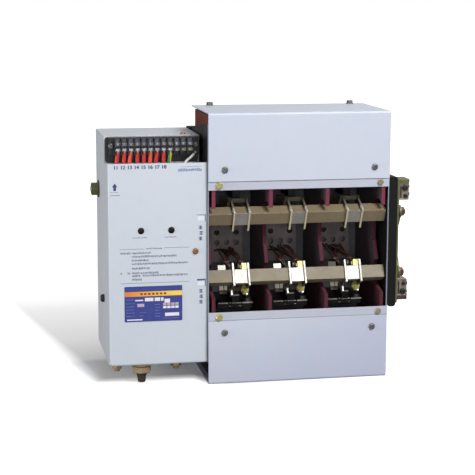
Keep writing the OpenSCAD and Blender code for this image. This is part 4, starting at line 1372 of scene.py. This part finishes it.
# %% Floor
FLOOR_GLOW = 0.06
SHADOW_MIDDLE = (-0.3, 0.2, 0.0)
BOUNCE_TONE, FLOOR_TONE, WHITE = (0.42, 0.42, 0.43, 1), (0.98, 0.98, 0.98, 1), (1, 1, 1, 1)
only(None)
bpy.ops.mesh.primitive_plane_add(size=14, location=(0, 1.5, 0))
floor = named("studio_floor")
apply_place()
floor_white = bpy.data.materials.new("floor_white")
floor_white.use_nodes = True
tree = floor_white.node_tree
tree.nodes.clear()
beside_shadow = reckon_vector(tree, "SUBTRACT", place_in(tree), SHADOW_MIDDLE)[0]
far = spread(tree, reckon_vector(tree, "LENGTH", beside_shadow)["Value"], 0.35, 1.1, FLOOR_GLOW, 1.0)
x, y = along(tree, "X"), along(tree, "Y")
leftward = reckon(tree, "SUBTRACT", reckon(tree, "MULTIPLY", x, -1.0), reckon(tree, "MULTIPLY", y, 0.165))
ahead = reckon(tree, "ADD", y, spread(tree, x, -0.14, -0.1, 0.0, 0.065))
# Painted light on the floor: glow in front of the box and body, towards the back and left of a slanting line.
PAINTED_FLOOR_LIGHT = ((ahead, -0.01, -0.06, 0.8), (y, 0.1, 0.5, 0.45), (leftward, 0.27, 0.3, 0.7))
for way, start, end, strength in PAINTED_FLOOR_LIGHT:
    far = reckon(tree, "MAXIMUM", far, spread(tree, way, start, end, FLOOR_GLOW, strength))
seen = put(tree, "LightPath").outputs["Is Camera Ray"]
matt = put(tree, "BsdfDiffuse", Color=mix_colour(tree, seen, BOUNCE_TONE, FLOOR_TONE))
glow = put(tree, "Emission", Color=WHITE, Strength=reckon(tree, "MULTIPLY", seen, far))
summed = put(tree, "AddShader")
feed(tree, summed.inputs[0], matt.outputs[0])
feed(tree, summed.inputs[1], glow.outputs[0])
feed(tree, put(tree, "OutputMaterial").inputs["Surface"], summed.outputs[0])
floor.data.materials.append(floor_white)
print("floor size in m:", [round(value, 1) for value in floor.dimensions])

# %% World and lamps
WORLD_LIGHT, MIRROR_SHARE = 0.17, 0.45
world = bpy.data.worlds.new("studio_world")
bpy.context.scene.world = world
world.use_nodes = True
tree = world.node_tree
tree.nodes.clear()
rays = put(tree, "LightPath").outputs
mirrored = reckon(tree, "MAXIMUM", rays["Is Glossy Ray"], rays["Is Transmission Ray"])
mirrored = reckon(tree, "MULTIPLY", mirrored, MIRROR_SHARE)
plain = reckon(tree, "MAXIMUM", rays["Is Camera Ray"], mirrored)
sky = put(tree, "Background", Color=WHITE, Strength=spread(tree, plain, 0.0, 1.0, WORLD_LIGHT, 1.0))
feed(tree, put(tree, "OutputWorld").inputs["Surface"], sky.outputs[0])


def lamp(name, spot, aim, size, watts):
    """A square area lamp that points at a place."""
    light = bpy.data.lights.new(name, "AREA")
    light.size = size
    light.energy = watts
    made = link_new(name, light)
    made.location = spot
    made.rotation_euler = (Vector(aim) - Vector(spot)).to_track_quat("-Z", "Y").to_euler()


lamp("key_lamp", (0.55, -1.65, 1.6), (0, 0, 0.2), 0.7, 36)
lamp("front_lamp", (-0.3, -1.9, 0.5), (0, 0, 0.19), 0.5, 5)
lamp("left_lamp", (-1.6, -0.3, 0.35), (-0.26, 0.0, 0.2), 0.6, 10)
lamp("top_lamp", (0.95, 0.15, 1.6), (0, 0, 0.2), 1.0, 12)
bpy.context.scene.view_settings.view_transform = "Standard"
print("lamps:", len(bpy.data.lights))
